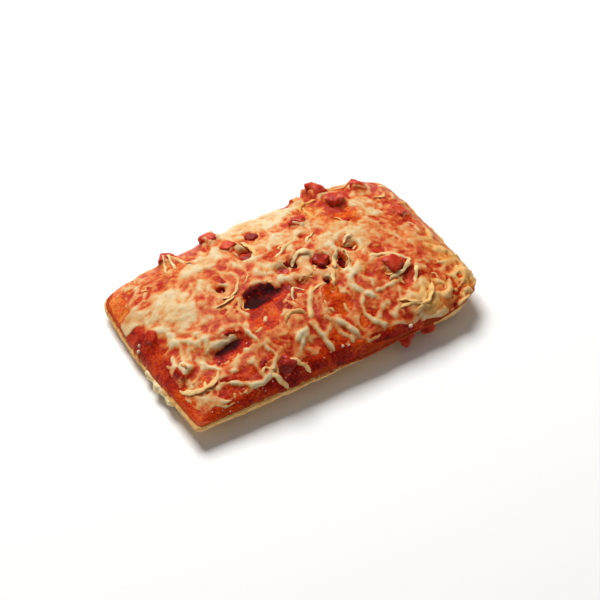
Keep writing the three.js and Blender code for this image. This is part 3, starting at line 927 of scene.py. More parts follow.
@dataclass
class ToppingMap:
    """Heights above the bread, worked out once and shared by the sauce, the cheese and the shreds."""

    form: SliceForm
    raster: Raster
    ham_seats: Sequence[HamSeat]
    sauce_thickness: float = 1.3
    cheese_reach: float = 0.96
    film: float = 0.3
    sunk_in: float = 0.22
    sauce_depth: float = 1.2
    cheese_depth: float = 1.1
    hidden_depth: float = 0.7
    pressed_in: float = 0.12
    thin_fade: float = 0.9
    least_wanted: float = 0.12
    shortest_run: int = 8
    seed: int = 11
    wanted: Array = field(init=False)
    hollow: Array = field(init=False)
    ham: Array = field(init=False)
    sauce: Array = field(init=False)
    cheese: Array = field(init=False)
    cover: Array = field(init=False)
    cream: Array = field(init=False)
    gold: Array = field(init=False)

    # Deep places, as depths below the bread's smooth top.
    HOLLOWS = patches(
        (-25, -15, 12, 8, 8, 1.2), (-22.5, -8.6, 10.5, 3.6, -8, 3), (-51, -25, 11, 4.6, -8, 1.3),
        (-46, -24, 7.5, 3.6, -10, 2.6), (-14, 20, 2.6, 5, -12, 4), (-4.5, 0.5, 3.2, 3.6, 0, 3.8),
        (1.2, 1, 1.4, 5, -15, 3), (14, -4, 5, 4.4, 0, 2.6), (21, -8, 1.9, 5.4, -28, 4),
        (30, -2.5, 2.7, 3.2, 0, 4), (9, -15.5, 2, 1.7, 0, 3), (40, -9, 3.5, 3.5, 0, 1.6),
        (38, -25, 3, 2.4, 0, 2.4), (44, -29, 6, 2.6, 20, 1.8), (-3, -12.5, 7, 2.2, -10, 2.6),
        (-36, 5, 1.4, 3, 30, 2.4), (-15, -40, 3, 1.6, 0, 1.8), (14, 14, 1.7, 1.5, 0, 2.5),
        (-58, -22, 4, 1.6, -10, 2.5),
    )

    # How much of the area the cheese covers, from 0 to 1.
    COVERAGE = patches(
        (-74.5, -6, 24, 5.5, 90, 0.08), (-72, 35, 10, 9, 0, 0.45), (-26, -19, 12, 7.5, 10, 0.05),
        (-51, -34, 16, 10, 0, 0.55), (-29, -35, 9, 3.5, 0, 0.2), (-48, -25, 10, 4.2, -8, 0),
        (-22.5, -10, 13.5, 6.6, -8, 0), (7, -26, 8, 6.5, 70, 0.08), (17, -40, 5.5, 4, 0, 0.1),
        (-2, -41, 9, 4, 0, 0.3), (-28, -48.5, 52, 3.2, 0, 0.08), (16, -50.8, 25, 2.2, 0, 0.2),
        (-66, -33, 4, 5, 0, 0.15), (-56, -41, 7, 4, 0, 0.15), (-43, -39, 6, 2.5, 0, 0.2),
        (41, 30, 6.5, 8, 0, 0), (42, 18, 8, 5.5, 0, 0.1), (60, 36, 6.5, 5, 40, 0.1),
        (66, 11, 6, 9, 30, 0.1), (75, 12, 5, 22, 0, 0.7), (-13, -19, 6, 5, 0, 0.15),
        (75, -26, 7, 18, 0, 0.8), (66, -44, 12, 5, 0, 1), (42, -21, 6, 5, 0, 0),
        (46, -29, 8, 4, 20, 0.1), (12, -4, 6, 5.5, 0, 0), (-4.5, 0.5, 3.4, 4, 0, 0),
        (1.2, 1, 1.8, 5, -15, 0), (-14, 20, 2.8, 5.6, -12, 0), (-18, 29, 4.6, 4.4, 0, 0),
        (-5.5, 29, 3, 4.2, 0, 0.05), (21, -8, 2, 5.6, -28, 0), (30, -2.5, 2.7, 3.4, 0, 0),
        (14, 14, 1.8, 1.6, 0, 0), (9, -15.5, 2, 1.8, 0, 0), (40, -9, 4, 4, 0, 0.05),
        (-36, 5.5, 1.5, 3.2, 25, 0), (-33, 10.5, 1.5, 3.4, 0, 0), (-7, 11, 2.4, 1.4, 20, 0.1),
        (-40.5, -6, 1.8, 1.2, 0, 0), (-30, -45, 4.6, 4, 0, 0), (17.5, 25, 4.6, 4, 30, 0.1),
        (65, -38, 4, 8, -20, 0.2), (58, -28, 7, 3.2, 0, 0.2), (-21, 41, 4.5, 5, 0, 0),
        (38, 42, 6.5, 5, 0, 0.05), (-43, 42, 4, 4.5, 0, 0.1), (-62, 30, 3, 4, 20, 0.3),
        (-74, 21, 9, 3.6, 0, 1), (-73, -8, 6, 2.5, 0, 0.8), (-28, 34, 2.5, 4, 0, 0.3),
        (-74, -15, 2.4, 4.5, 20, 0.6), (-70, -27, 2.4, 4, -20, 0.6),
    )

    # Where the cheese has run together, from 0 stringy to 1 smooth.
    MELT = patches(
        (-55, 12, 14, 12, 0, 1), (-35, 27, 11, 6.5, 0, 1), (4, 40, 17, 10, 0, 1),
        (8, 19, 9, 6, 0, 0.9), (-12, 4, 8, 5, 0, 0.8), (48, -3, 18, 11, -20, 0.95),
        (55, 22, 9, 9, 0, 0.9),
        (-55, -14, 15, 5.5, 0, 0.6), (-46, -33.5, 10, 3.6, -15, 1), (22, 6, 8, 4.5, 0, 0.8),
        (73, -15, 8, 30, 0, 0.35), (45, 47, 20, 5, 0, 0.8), (0, -16, 32, 8, 0, 0.1),
        (52, -40, 12, 7, 0, 0.3),
    )

    # How oily and orange the sauce is, from 0, a near-black painted shade, to 1 pale; the low values in
    # the holes and hollows paint shade.
    OIL = patches(
        (-28, -49, 60, 5, 0, 0.46), (30, -48, 40, 4, 0, 0.42), (-74, 38, 10, 14, 0, 0.85),
        (-77, -5, 6, 24, 0, 0.48), (44, 21, 8, 7, 0, 0.78), (7, -26, 9, 8, 0, 0.6),
        (17, -40, 6, 5, 0, 0.62), (-68, -33, 7, 7, 0, 0.75), (-57, -40, 8, 4, 0, 0.42),
        (-26, -21, 12, 7, 0, 0.64), (-13, -19, 6, 6, 0, 0.4), (-23, -6.5, 11.5, 5.2, -8, 0.12),
        (-56, -24, 8, 4.4, -8, 0.4), (-47, -21.5, 8, 4.4, -8, 0.12), (60, 36, 10, 8, 0, 0.66),
        (72, 15, 8, 16, 0, 0.55), (-71, -47, 9, 4, 0, 0.55), (-3, 1, 6.5, 4.5, 0, 0.12),
        (21, -8, 3, 6, -28, 0.12), (30, -2.5, 3.5, 4, 0, 0.1), (9, -15.5, 3, 3, 0, 0.15),
        (13, -4, 6, 5.5, 0, 0.25), (-14, 20, 3.5, 6, -12, 0.12), (40, -9, 4.5, 4.5, 0, 0.3),
        (43, -28, 9, 4, 20, 0.32), (-3, -12.5, 8, 3, -10, 0.25), (-36, 6, 3, 4, 0, 0.25),
    )

    # How pale the cheese is, from 0 soaked with sauce to 1 cream.
    PALE = patches(
        (-57, 10, 14, 14, 0, 1.05), (-74, 21, 8, 5, 0, 0.9), (-58, 7, 9, 8, 0, 1.2),
        (-33, 27, 14, 7, 0, 1.1), (4, 42, 19, 12, 0, 1.15), (6, 20, 12, 7, 0, 1.25),
        (22, 8, 9, 6, 0, 0.88),
        (23, 17, 5, 5, 0, 0.9), (-12, 4, 8, 5, 0, 1.05), (48, -3, 18, 11, -20, 0.56),
        (55, 22, 11, 10, 0, 1), (66, -4, 5, 5, 0, 0.6), (68, 28, 8, 9, 0, 0.1), (38, 42, 5, 5, 0, 0.45),
        (-57, -12, 16, 7, 0, 0.26), (-46, -33.5, 11, 4.5, -15, 0.6), (-50, 40, 18, 9, 0, 0.5),
        (45, 46, 22, 7, 0, 0.45), (72, -25, 9, 25, 0, 0.6), (50, -42, 12, 7, 0, 0.7),
        (-15, -37, 6, 4, 0, 0.8), (-40, 0, 8, 8, 0, 0.62), (-20, 15, 12, 6, 0, 0.5),
    )

    # Where the cheese has curled up into lumps.
    LUMPY = patches(
        (72, -26, 10, 24, 0, 1), (54, -43, 18, 9, 0, 0.9), (76, 20, 6, 22, 0, 0.6),
    )

    # Where the cheese runs out over the left rim.
    LEFT_TONGUE = patches((-77, 21, 8, 6, 0, 1.0))

    # Where the cheese is yellow with oil.
    GOLD = patches(
        (74, -25, 10, 28, 0, 0.6), (54, -40, 14, 8, 0, 0.5), (77, 18, 5, 26, 0, 0.7),
        (28, 30, 5, 9, 0, 0.5), (52, 46, 14, 6, 0, 0.3), (26, -14, 4, 6, 0, 0.35),
    )

    def __post_init__(self) -> None:
        """Work out the hollows and the sauce, then lay the cheese shred by shred."""
        raster = self.raster
        x, y = raster.places()
        share = self.form.share(x, y)
        self.hollow = raster.blur(raster.painted(0.0, self.HOLLOWS, 0.42), 0.6)
        pulp = raster.noise(0.7, 21) * 0.13 + raster.noise(2.0, 22) * 0.25 + raster.noise(4.0, 23) * 0.2
        reach = 0.985 + raster.noise(2.2, 24) * 0.006 + raster.noise(7.0, 25) * 0.005
        edge = ease(reach - share, -0.01, 0.012)
        sauce = (self.sauce_thickness + pulp) * (0.12 + 0.88 * ease(reach - share, 0.0, 0.08))
        self.sauce = lerp(-0.8, sauce, edge) - self.hollow * ease(0.97 - share, 0.0, 0.05)
        self.ham = self._ham_bumps(x, y, lambda seat: seat.shown and not seat.soak_and_shade)
        lumps = self._ham_bumps(x, y, lambda seat: not seat.shown)
        lumps = np.clip(lumps - self.sauce + 0.35, 0.0, 5.0) * ease(lumps, 0.1, 0.5)
        self.sauce = self.sauce + np.maximum(raster.blur(lumps, 0.5), 0.8 * raster.blur(lumps, 1.2))
        self._lay_cheese(share)

    def _ham_bumps(self, x: Array, y: Array, wanted: Callable[[HamSeat], bool]) -> Array:
        """Height of some of the ham above the bread, cube by cube in a window round each."""
        ham = np.zeros(x.shape)
        for seat in filter(wanted, self.ham_seats):
            near = np.hypot(x - seat.centre[0], y - seat.centre[1]) < seat.half.max() * 1.8
            ham[near] = np.maximum(ham[near], seat.height_over(self.form, x[near], y[near]))
        return ham

    def _lay_cheese(self, share: Array) -> None:
        """Lay four batches of shreds, let each run together before the next, and add the listed ones."""
        raster = self.raster
        x, _ = raster.places()
        rng = np.random.default_rng(self.seed)
        brim = self.cheese_reach + 0.075 * ease(x, 34, 52) + 0.014 * raster.noise(3.0, 39)
        brim = brim + 0.05 * raster.painted(0.0, self.LEFT_TONGUE)
        wanted = raster.painted(0.84, self.COVERAGE) * ease(brim - share, 0.0, 0.05)
        melt = np.clip(raster.painted(0.5, self.MELT) + raster.noise(6.0, 31) * 0.15, 0.0, 1.0)
        pale = np.clip(raster.painted(0.46, self.PALE) + raster.noise(4.0, 32) * 0.13, 0.0, 1.2)
        gold = np.clip(raster.painted(0.06, self.GOLD) + raster.noise(5.0, 33) * 0.08, 0.0, 1.0)
        flat = raster.blur(self.sauce, 0.5)
        bump = np.clip(self.ham - flat, 0.0, 6.0) * ease(self.ham, 0.1, 0.5)
        ground = flat + np.maximum(raster.blur(bump, 0.45), 0.8 * raster.blur(bump, 1.6))
        self.cheese, self.cream, self.gold = ground.copy(), pale.copy(), gold.copy()
        self.wanted = wanted
        self._batch(rng, Batch.MELTED, wanted)
        melted = raster.blur(self.cheese, 1.5) + 0.25
        gentle = raster.blur(self.cheese, 0.7)
        self.cheese = lerp(gentle, melted, melt)
        self.cream = raster.blur(self.cream, 1.2)
        self._batch(rng, Batch.SOFT, wanted * (1.0 - 0.65 * melt))
        self.cheese = lerp(raster.blur(self.cheese, 0.4), raster.blur(self.cheese, 1.0), melt)
        self.cream = raster.blur(self.cream, 0.6)
        self._batch(rng, Batch.CRISP, wanted * (1.0 - 0.9 * melt))
        self._batch(rng, Batch.STRANDS, wanted * (1.0 - 0.6 * melt))
        for shred in hand_laid_shreds():
            if shred.lift < LOOSE_LIFT:
                self._lay(shred, 0.75, 0.0)
        self.cheese = raster.blur(self.cheese, 0.3)
        self.cream = raster.blur(self.cream, 0.3)
        self._settle(ground, melt, pale)

    def _settle(self, ground: Array, melt: Array, pale: Array) -> None:
        """Turn the laid shreds into one blanket: fray it, film the gaps, and tint it by its relief, paler
        on the ridges and darker where it lies low, partly as sauce stain and partly as painted shade.

        Args:
            ground: Height of what lies under the cheese.
            melt: How far the cheese has run together.
            pale: How pale the cheese is meant to be.
        """
        raster, wanted = self.raster, self.wanted
        cut = ease(wanted, 0.02, 0.12)
        fray = raster.noise(0.55, 34) * 0.06 + raster.noise(1.3, 36) * 0.1
        lying = self.cheese - ground - self.sunk_in + fray
        lumpy = raster.painted(0.0, self.LUMPY)
        lying = lying + lumpy * (0.45 * raster.noise(1.5, 40) + 0.25) * ease(lying, 0.0, 0.4)
        film = self.film + 0.14 * raster.noise(2.6, 37) + 0.05 * raster.noise(0.9, 38)
        lying = np.maximum(lying, film * ease(wanted, 0.4, 0.75))
        lying = lying + 0.5 * melt * ease(pale, 0.6, 1.0) * ease(wanted, 0.5, 0.8)
        self.cover = ease(lying, -0.05, 0.35) * cut
        hidden = ground - self.hidden_depth
        self.cheese = np.where(self.cover > 0, ground + lying, hidden)
        self.cheese = lerp(hidden, self.cheese, ease(self.cover, 0.0, 0.25))
        # Ridges are tinted paler and low places darker, partly sauce stain and partly painted light and
        # shade; thin cheese shows the sauce.
        ridge = self.cheese - raster.blur(self.cheese, 1.8)
        thin = np.exp(-np.clip(lying, 0.0, None) / self.thin_fade)
        cream = self.cream + np.clip(ridge, -0.8, 0.8) * 0.8 - thin * 0.8 + 0.16
        self.cream = np.clip(cream + raster.noise(1.6, 35) * 0.05, 0.0, 1.0)
        self.gold = np.clip(raster.blur(self.gold, 0.5), 0.0, 1.0)

    def _batch(self, rng: np.random.Generator, batch: Batch, wanted: Array) -> None:
        """Scatter shreds at random where cheese is wanted, and lay them.

        Args:
            rng: The source of chance.
            batch: The kind of shreds.
            wanted: How likely a shred is kept, on the grid.
        """
        count, thick, narrowest, widest = batch.value
        places = rng.uniform((-78, -49.5), (79, 49.5), (count, 2))
        chance = self.raster.sample(wanted, places[:, 0], places[:, 1])
        for x, y in places[rng.uniform(0, 1, count) < chance + 0.05]:
            course = random_course(rng, 9, 24, 70, 25)
            width, cream = rng.uniform(narrowest, widest), rng.uniform(0.45, 1.0)
            self._lay(Shred(x, y, *course, width, 0.0, cream), thick, 0.5)

    def _run(self, path: Array) -> Array:
        """The unbroken stretch of a path, through its middle, where cheese is wanted."""
        allowed = self.raster.sample(self.wanted, path[:, 0], path[:, 1]) > self.least_wanted
        middle, stops = len(path) // 2, np.flatnonzero(~allowed)
        low = max(stops[stops < middle], default=-1) + 1
        high = min(stops[stops > middle], default=len(path))
        return path[low:high] if allowed[middle] else path[:0]

    def _lay(self, shred: Shred, thick: float, own: float) -> None:
        """Drape one shred over what already lies there.

        The shred follows the surface below it, smoothed over a few millimetres so that it
        bridges the gaps. Across, its top is the arc t sqrt(1 - (d / r)^2).

        Args:
            shred: The shred to lay.
            thick: Scale of its thickness.
            own: How much of the place's paleness it keeps, rather than its own.
        """
        path = self._run(shred.path()) if own else shred.path()
        if len(path) < self.shortest_run:
            return
        raster, (x, y) = self.raster, path.T
        under = raster.sample(self.cheese, x, y)
        under = np.maximum(smoothed(under, 15), under - 0.5)
        s = np.linspace(0, 1, len(path))
        taper = np.sqrt(np.clip(np.minimum(s, 1 - s) * 9, 0.05, 1.0))
        radius = shred.width / 2 * taper
        height = shred.width * 0.5 * thick * taper
        half = (raster.half_x, raster.half_y)
        lo = np.maximum(np.floor((path.min(0) - 2 + half) / raster.pitch).astype(int), 0)
        hi = np.minimum(np.ceil((path.max(0) + 2 + half) / raster.pitch).astype(int), self.cheese.shape)
        gx = np.arange(lo[0], hi[0]) * raster.pitch - half[0]
        gy = np.arange(lo[1], hi[1]) * raster.pitch - half[1]
        away = (gx[:, None, None] - x) ** 2 + (gy[None, :, None] - y) ** 2
        nearest = away.argmin(-1)
        inside = 1.0 - np.take_along_axis(away, nearest[..., None], -1)[..., 0] / radius[nearest] ** 2
        arc = under[nearest] + height[nearest] * np.sqrt(np.clip(inside, 0.0, 1.0)) - self.pressed_in
        window = np.s_[lo[0] : hi[0], lo[1] : hi[1]]
        over = (inside > 0) & (arc > self.cheese[window])
        self.cheese[window] = np.where(over, arc, self.cheese[window])
        here = self.cream[window]
        tint = lerp(shred.cream, here * (0.6 + 0.55 * shred.cream), own)
        self.cream[window] = np.where(over, tint, here)
        if shred.gold:
            self.gold[window] = np.where(over, shred.gold, self.gold[window])

    def surface(self, x: Array, y: Array) -> Array:
        """Height of whatever lies on top, sauce or cheese, above the bread."""
        top = np.maximum(self.sauce, self.cheese)
        return self.raster.sample(top, x, y)


# --- The slice's parts ---


@dataclass
class BreadBase:
    """The baked bread: a top that the sauce hides, a golden lip, and an underside with a flat foot."""

    form: SliceForm
    toppings: ToppingMap
    spokes: int = 640
    lip_rings: int = 18
    underside_rings: int = 46
    roughness: float = 0.6
    right_fullness: float = 0.9
    cavity: float = 7.0
    lip_bulge: float = 0.012

    def build(self) -> None:
        """Work out the rings from the top's middle over the lip to the foot, and mesh them."""
        form = self.form
        s, t = self._square_edge()
        top_shares = np.concatenate([[0.3, 0.6, 0.8], np.linspace(0.86, 0.988, 26)])
        rings, toast, oil = [], [], []

        def add(ring: Array, toasted: float, oily: Any) -> None:
            """Add one ring of points, with how toasted and how oily it is."""
            rings.append(ring)
            toast.append(np.full(len(s), toasted))
            oil.append(np.broadcast_to(oily, len(s)))

        for share in top_shares:
            x, y = form.spread(s * share, t * share)
            sunk = self.toppings.raster.sample(self.toppings.hollow, x, y) * (share < 0.955)
            depth = 0.3 * (1 - ease(share, 0.94, 0.97)) + self.cavity * (share < 0.85)
            add(form.lifted(x, y, 0.0) - np.stack([0 * x, 0 * x, sunk + depth], 1), 0.62, 0.95)
        x, y = form.spread(s, t)
        edge = np.stack([x, y, form.top(x, y)], axis=-1)
        wet = np.clip(ease(x, -58, 20) + ease(y, -22, 2), 0.0, 1.0) * lerp(0.4, 1.0, ease(x, -78, -62))
        lip = form.lip * (0.88 - 0.45 * ease(x, -35, 35) * ease(-y, 10, 40))
        for swing in (np.arange(self.lip_rings) + 0.5) / self.lip_rings * math.pi:
            pull = 1 - self.lip_bulge * (1 - math.sin(swing))
            drop = lip / 2 * (1 - math.cos(swing))
            oily = 0.95 * wet * (1.0 - ease(swing - 1.2 * ease(x, -30, 40), 0.9, 1.8))
            ring = edge * (pull, pull, 1.0) - np.stack([0 * x, 0 * x, drop], 1)
            add(ring, 0.6 - 0.15 * ease(swing, 0.1, 1.2), oily)
        foot = np.stack([*form.foot_point(s, t), np.zeros(len(s))], axis=-1)
        full = self.right_fullness * ease(x, 25, 65) * ease(-y, 8, 38)
        for share in np.linspace(1.0, 0.0, self.underside_rings + 1)[1:]:
            wide = lerp(share, 1.0 - (1.0 - share) ** 3, full)[:, None]
            ring = lerp(foot, edge * (0.975, 0.975, 0.0), wide)
            ring[:, 2] = (edge[:, 2] - lip) * share**form.underside_power
            add(ring, 0.42 + 0.2 * (1 - share), 0.0)
        for share in (0.92, 0.8, 0.6, 0.35):
            add(foot * (share, share, 1.0), 0.7, 0.0)
        first = form.lifted(np.zeros(1), np.zeros(1), -8.0)[0]
        points, faces = ringed(first, np.stack(rings), np.zeros(3))
        values = {"toast": np.concatenate([[0.5], *toast, [0.7]])}
        values["oil"] = np.concatenate([[0.6], *oil, [0.0]])
        points, finish = self._roughened(points), CrustFinish().build()
        make_piece("bread_base", points, faces, finish, ["bread"], values)

    def _square_edge(self) -> tuple[Array, Array]:
        """Points evenly round the edge of the square -1..1, anticlockwise from its right side."""
        walk = np.arange(self.spokes) / self.spokes * 8
        s = np.clip(np.abs((walk + 4) % 8 - 4) * -1 + 2, -1, 1)
        t = np.clip(2 - np.abs((walk + 2) % 8 - 4), -1, 1)
        return s, t

    def _roughened(self, points: Array) -> Array:
        """Push the crust in and out by noise at two sizes, and keep the foot on the table."""
        away = points - np.array([0.0, 0.0, 9.0])
        flat = away * np.array([0.35, 0.5, 1.4])
        direction = flat / np.maximum(np.linalg.norm(flat, axis=1, keepdims=True), 1e-6)
        push = lattice_noise(points, 7.0, 1) * 0.9 + lattice_noise(points, 2.2, 2) * 0.6
        push = push + lattice_noise(points, 0.9, 3) * 0.35
        fade = ease(points[:, 2], 0.0, 2.0)
        points = points + direction * (push * self.roughness * fade)[:, None]
        points[:, 2] = np.maximum(points[:, 2], 0.0)
        return points


@dataclass
class LayerMesh:
    """A layer over the bread as a closed sheet, from heights on the raster."""

    form: SliceForm
    raster: Raster
    columns: int = 340
    rows: int = 218
    reach: float = 0.997

    def build(
        self,
        name: str,
        node: str,
        slot: str,
        material: bpy.types.Material,
        top: Array,
        below: Array,
        values: Mapping[str, Array],
    ) -> None:
        """Mesh the layer.

        Args:
            name: The piece's name.
            node: The solid that it stands for.
            slot: A material slot's name; not used.
            material: The finish.
            top: Height of the layer's top above the bread, on the raster.
            below: Height of its underside, on the raster.
            values: Numbers on the raster to keep for each vertex.
        """
        s, t = np.meshgrid(
            np.linspace(-self.reach, self.reach, self.columns + 1),
            np.linspace(-self.reach, self.reach, self.rows + 1),
            indexing="ij",
        )
        x, y = self.form.spread(s, t)
        upper = self.form.lifted(x, y, self.raster.sample(top, x, y))
        cx, cy = x[::2, ::2], y[::2, ::2]
        lower = self.form.lifted(cx, cy, self.raster.sample(below, cx, cy))
        points, faces = shell(upper, lower)
        every = np.concatenate([x.ravel(), cx.ravel()]), np.concatenate([y.ravel(), cy.ravel()])
        kept = {key: self.raster.sample(grid, *every) for key, grid in values.items()}
        make_piece(name, points, faces, material, [node], kept)


@dataclass
class HamPieces:
    """The ham cubes, each cut a little unevenly and torn at its edges."""

    spokes: int = 40
    rings: int = 26
    squareness: float = 0.48
    skew: float = 0.14
    widest: float = 1.12

    def build(self, seats: Sequence[HamSeat]) -> None:
        """Replace every ham solid with a detailed cube in the same seat."""
        material = HamFinish().build()
        for number, seat in enumerate(seats):
            points, faces = self._cube(seat.half, number)
            flesh = 0.52 + 0.4 * lattice_noise(points + number * 31.0, 3.5, 7)
            # Flesh is darker at the browned edges, and darker on the soaked cubes, where it is partly
            # painted shade.
            flesh = flesh - 0.2 * ease(np.abs(points / seat.half).max(1), 0.97, 1.08) - seat.soak_and_shade
            points = points @ seat.axes + seat.centre
            name = seat.name.replace("cube", "chunk")
            make_piece(name, points, faces, material, [seat.name], {"flesh": flesh})

    def _cube(self, half: Array, number: int) -> tuple[Array, Array]:
        """A rounded box: a sphere's sines and cosines raised to a low power, then made uneven.

        Args:
            half: Half sizes along the three axes.
            number: Chooses the unevenness.

        Returns:
            Points about the origin, and triangles.
        """
        tilt = (np.arange(self.rings) + 1) / (self.rings + 1) * math.pi
        turn = np.arange(self.spokes) / self.spokes * 2 * math.pi
        tilt, turn = np.meshgrid(tilt, turn, indexing="ij")

        def squared(value: Array) -> Array:
            """Keep the sign and raise the size to the squareness."""
            return np.sign(value) * np.abs(value) ** self.squareness

        ring = np.stack(
            [
                squared(np.sin(tilt)) * squared(np.cos(turn)),
                squared(np.sin(tilt)) * squared(np.sin(turn)),
                squared(np.cos(tilt)),
            ],
            axis=-1,
        )
        points, faces = ringed(np.array([0.0, 0.0, 1.0]), ring, np.array([0.0, 0.0, -1.0]))
        shifted = points + number * 17.0
        push = lattice_noise(shifted, 0.8, 4) * 0.28 + lattice_noise(shifted, 0.3, 5) * 0.11
        skew = np.random.default_rng(number + 5).uniform(-self.skew, self.skew, (3, 3))
        points = points * (1.0 + push[:, None]) * 0.95
        points = points + (np.roll(points, 1, axis=1) * points) @ skew * 0.6
        return np.clip(points, -self.widest, self.widest) * half, faces


@dataclass
class LooseShreds:
    """Shreds of cheese that kept their shape: curled flat strips, lifted here and there."""

    form: SliceForm
    toppings: ToppingMap
    sides: int = 10
    count: int = 64
    reach: float = 0.86
    thinnest: float = 0.17
    flatness: float = 0.14
    deepest_sag: float = 4.0
    seed: int = 5

    # Where the loose shreds lie thickly.
    LOOSE = patches(
        (-2, -4, 40, 11, 4, 1), (45, -35, 25, 12, 0, 0.4), (-50, -30, 22, 12, 0, 0.35),
        (25, 15, 18, 12, 0, 0.5), (-55, 12, 13, 10, 0, 0.08), (4, 42, 16, 9, 0, 0.05),
        (-26, -18, 11, 5, 0, 0.1), (-50, -24, 13, 6, 0, 0), (-26, -14, 17, 10, 0, 0),
        (7, -26, 6, 6, 0, 0.1), (-74, -5, 5, 22, 0, 0.05), (41, 27, 7, 10, 0, 0),
    )

    def build(self) -> None:
        """Lay the listed shreds and the scattered ones, and join them into one piece."""
        rng = np.random.default_rng(self.seed)
        shreds = [shred for shred in hand_laid_shreds() if shred.lift >= LOOSE_LIFT]
        strips = [self._strip(shred, rng) for shred in shreds + self._scattered(rng)]
        points, faces = joined([(points, faces) for points, faces, _, _ in strips])
        values = {"cream": np.concatenate([cream for _, _, cream, _ in strips])}
        values["gold"] = np.concatenate([gold for _, _, _, gold in strips])
        finish = CheeseFinish(
            name="loose_cheese",
            peach=srgb(232, 164, 98),
            cream=srgb(238, 198, 134),
            pale=srgb(244, 222, 168),
            roughness=0.42,
            stain_scale=1.8,
            glow=Glow(0.1, (1.0, 0.6, 0.35), 1.2),
        )
        make_piece("cheese_shreds", points, faces, finish.build(), (), values)

    def _scattered(self, rng: np.random.Generator) -> list[Shred]:
        """Random shreds where the loose ones lie."""
        raster = self.toppings.raster
        loose = raster.painted(0.12, self.LOOSE)
        places = rng.uniform((-74, -46), (75, 44), (self.count * 3, 2))
        chance = raster.sample(loose, places[:, 0], places[:, 1])
        kept = (rng.uniform(0, 1, len(places)) < chance) & (chance > 0.1)
        kept &= self.form.share(*places.T) < self.reach
        shreds = []
        for x, y in places[kept][: self.count]:
            course = random_course(rng, 4, 11, 55, 35)
            width, lift = rng.uniform(0.95, 1.9), abs(rng.normal(0.6, 0.3))
            cream, gold = rng.uniform(0.5, 0.95), max(0.0, rng.normal(0.12, 0.15))
            shreds.append(Shred(x, y, *course, width, lift, cream, gold))
        return shreds

    def _strip(self, shred: Shred, rng: np.random.Generator) -> tuple[Array, Array, Array, Array]:
        """One shred as a closed tube with a flat oval section that twists as it goes.

        The middle line follows the surface below, smoothed, and rises by lift times the
        sine of its length. The oval is wide across and thin upright.

        Args:
            shred: The shred's path and size.
            rng: The source of chance for its twist.

        Returns:
            Points, triangles, and cream and gold for each point.
        """
        path = shred.path(0.5)
        x, y = path[:, 0], path[:, 1]
        count = len(path)
        s = np.linspace(0, 1, count)
        over = self.toppings.surface(x, y)
        taper = np.sqrt(np.clip(np.minimum(s, 1 - s) * 7, 0.06, 1.0))
        wobble = np.sin(s * shred.length * 0.8 + rng.uniform(0, 6)) * np.sin(s * 5 + rng.uniform(0, 6))
        taper = taper * (1.0 + 0.28 * wobble)
        thick = max(self.thinnest, shred.width * self.flatness)
        rise = (0.9 * shred.lift - 0.6) * np.sin(math.pi * s) ** 1.2
        height = np.maximum(smoothed(over, 9), over - 0.5) + thick * 0.1 + rise
        height = height + 0.25 * shred.lift * np.sin(3 * math.pi * s + rng.uniform(0, 6))
        middle = self.form.lifted(x, y, height)
        along = np.gradient(middle, axis=0)
        along /= np.linalg.norm(along, axis=1, keepdims=True)
        up = self.form.normal(x, y)
        side = np.cross(along, up)
        side /= np.linalg.norm(side, axis=1, keepdims=True)
        up = np.cross(side, along)
        twist = rng.normal(0, 0.3) + rng.normal(0, 0.7) * (s - 0.5)
        turn = np.arange(self.sides) / self.sides * 2 * math.pi
        wide = np.cos(turn)[None, :] * (shred.width / 2 * taper)[:, None]
        tall = np.sin(turn)[None, :] * (thick * taper)[:, None]
        cos, sin = np.cos(twist)[:, None], np.sin(twist)[:, None]
        across, upright = wide * cos - tall * sin, wide * sin + tall * cos
        sag = (height - over + 0.3) / thick * (1.0 - ease(rise, 0.5, 1.3))
        sag = 1.0 + np.clip(sag, 0.0, self.deepest_sag)
        upright = np.where(upright < 0, upright * sag[:, None], upright)
        rings = middle[:, None] + across[..., None] * side[:, None] + upright[..., None] * up[:, None]
        rough = lattice_noise(rings, 1.6, 9) * 0.2 + lattice_noise(rings, 0.7, 10) * 0.1
        rings = rings + rough[..., None] * up[:, None]
        tip = along * thick * 0.3
        points, faces = ringed(middle[0] - tip[0], rings, middle[-1] + tip[-1])
        # Painted light and shade: each strip is tinted paler on top and darker, more orange, underneath,
        # and darker where it rises little.
        shade = shred.cream - 0.12 + 0.24 * np.sin(turn)[None, :]
        shade = shade + 0.12 * np.sin(7 * s + shred.x)[:, None]
        shade = shade * lerp(0.7, 1.0, ease(rise, 0.0, 1.2))[:, None]
        cream = np.concatenate([[shred.cream], shade.ravel(), [shred.cream]])
        return points, faces, np.clip(cream, 0, 1), np.full(len(points), shred.gold)


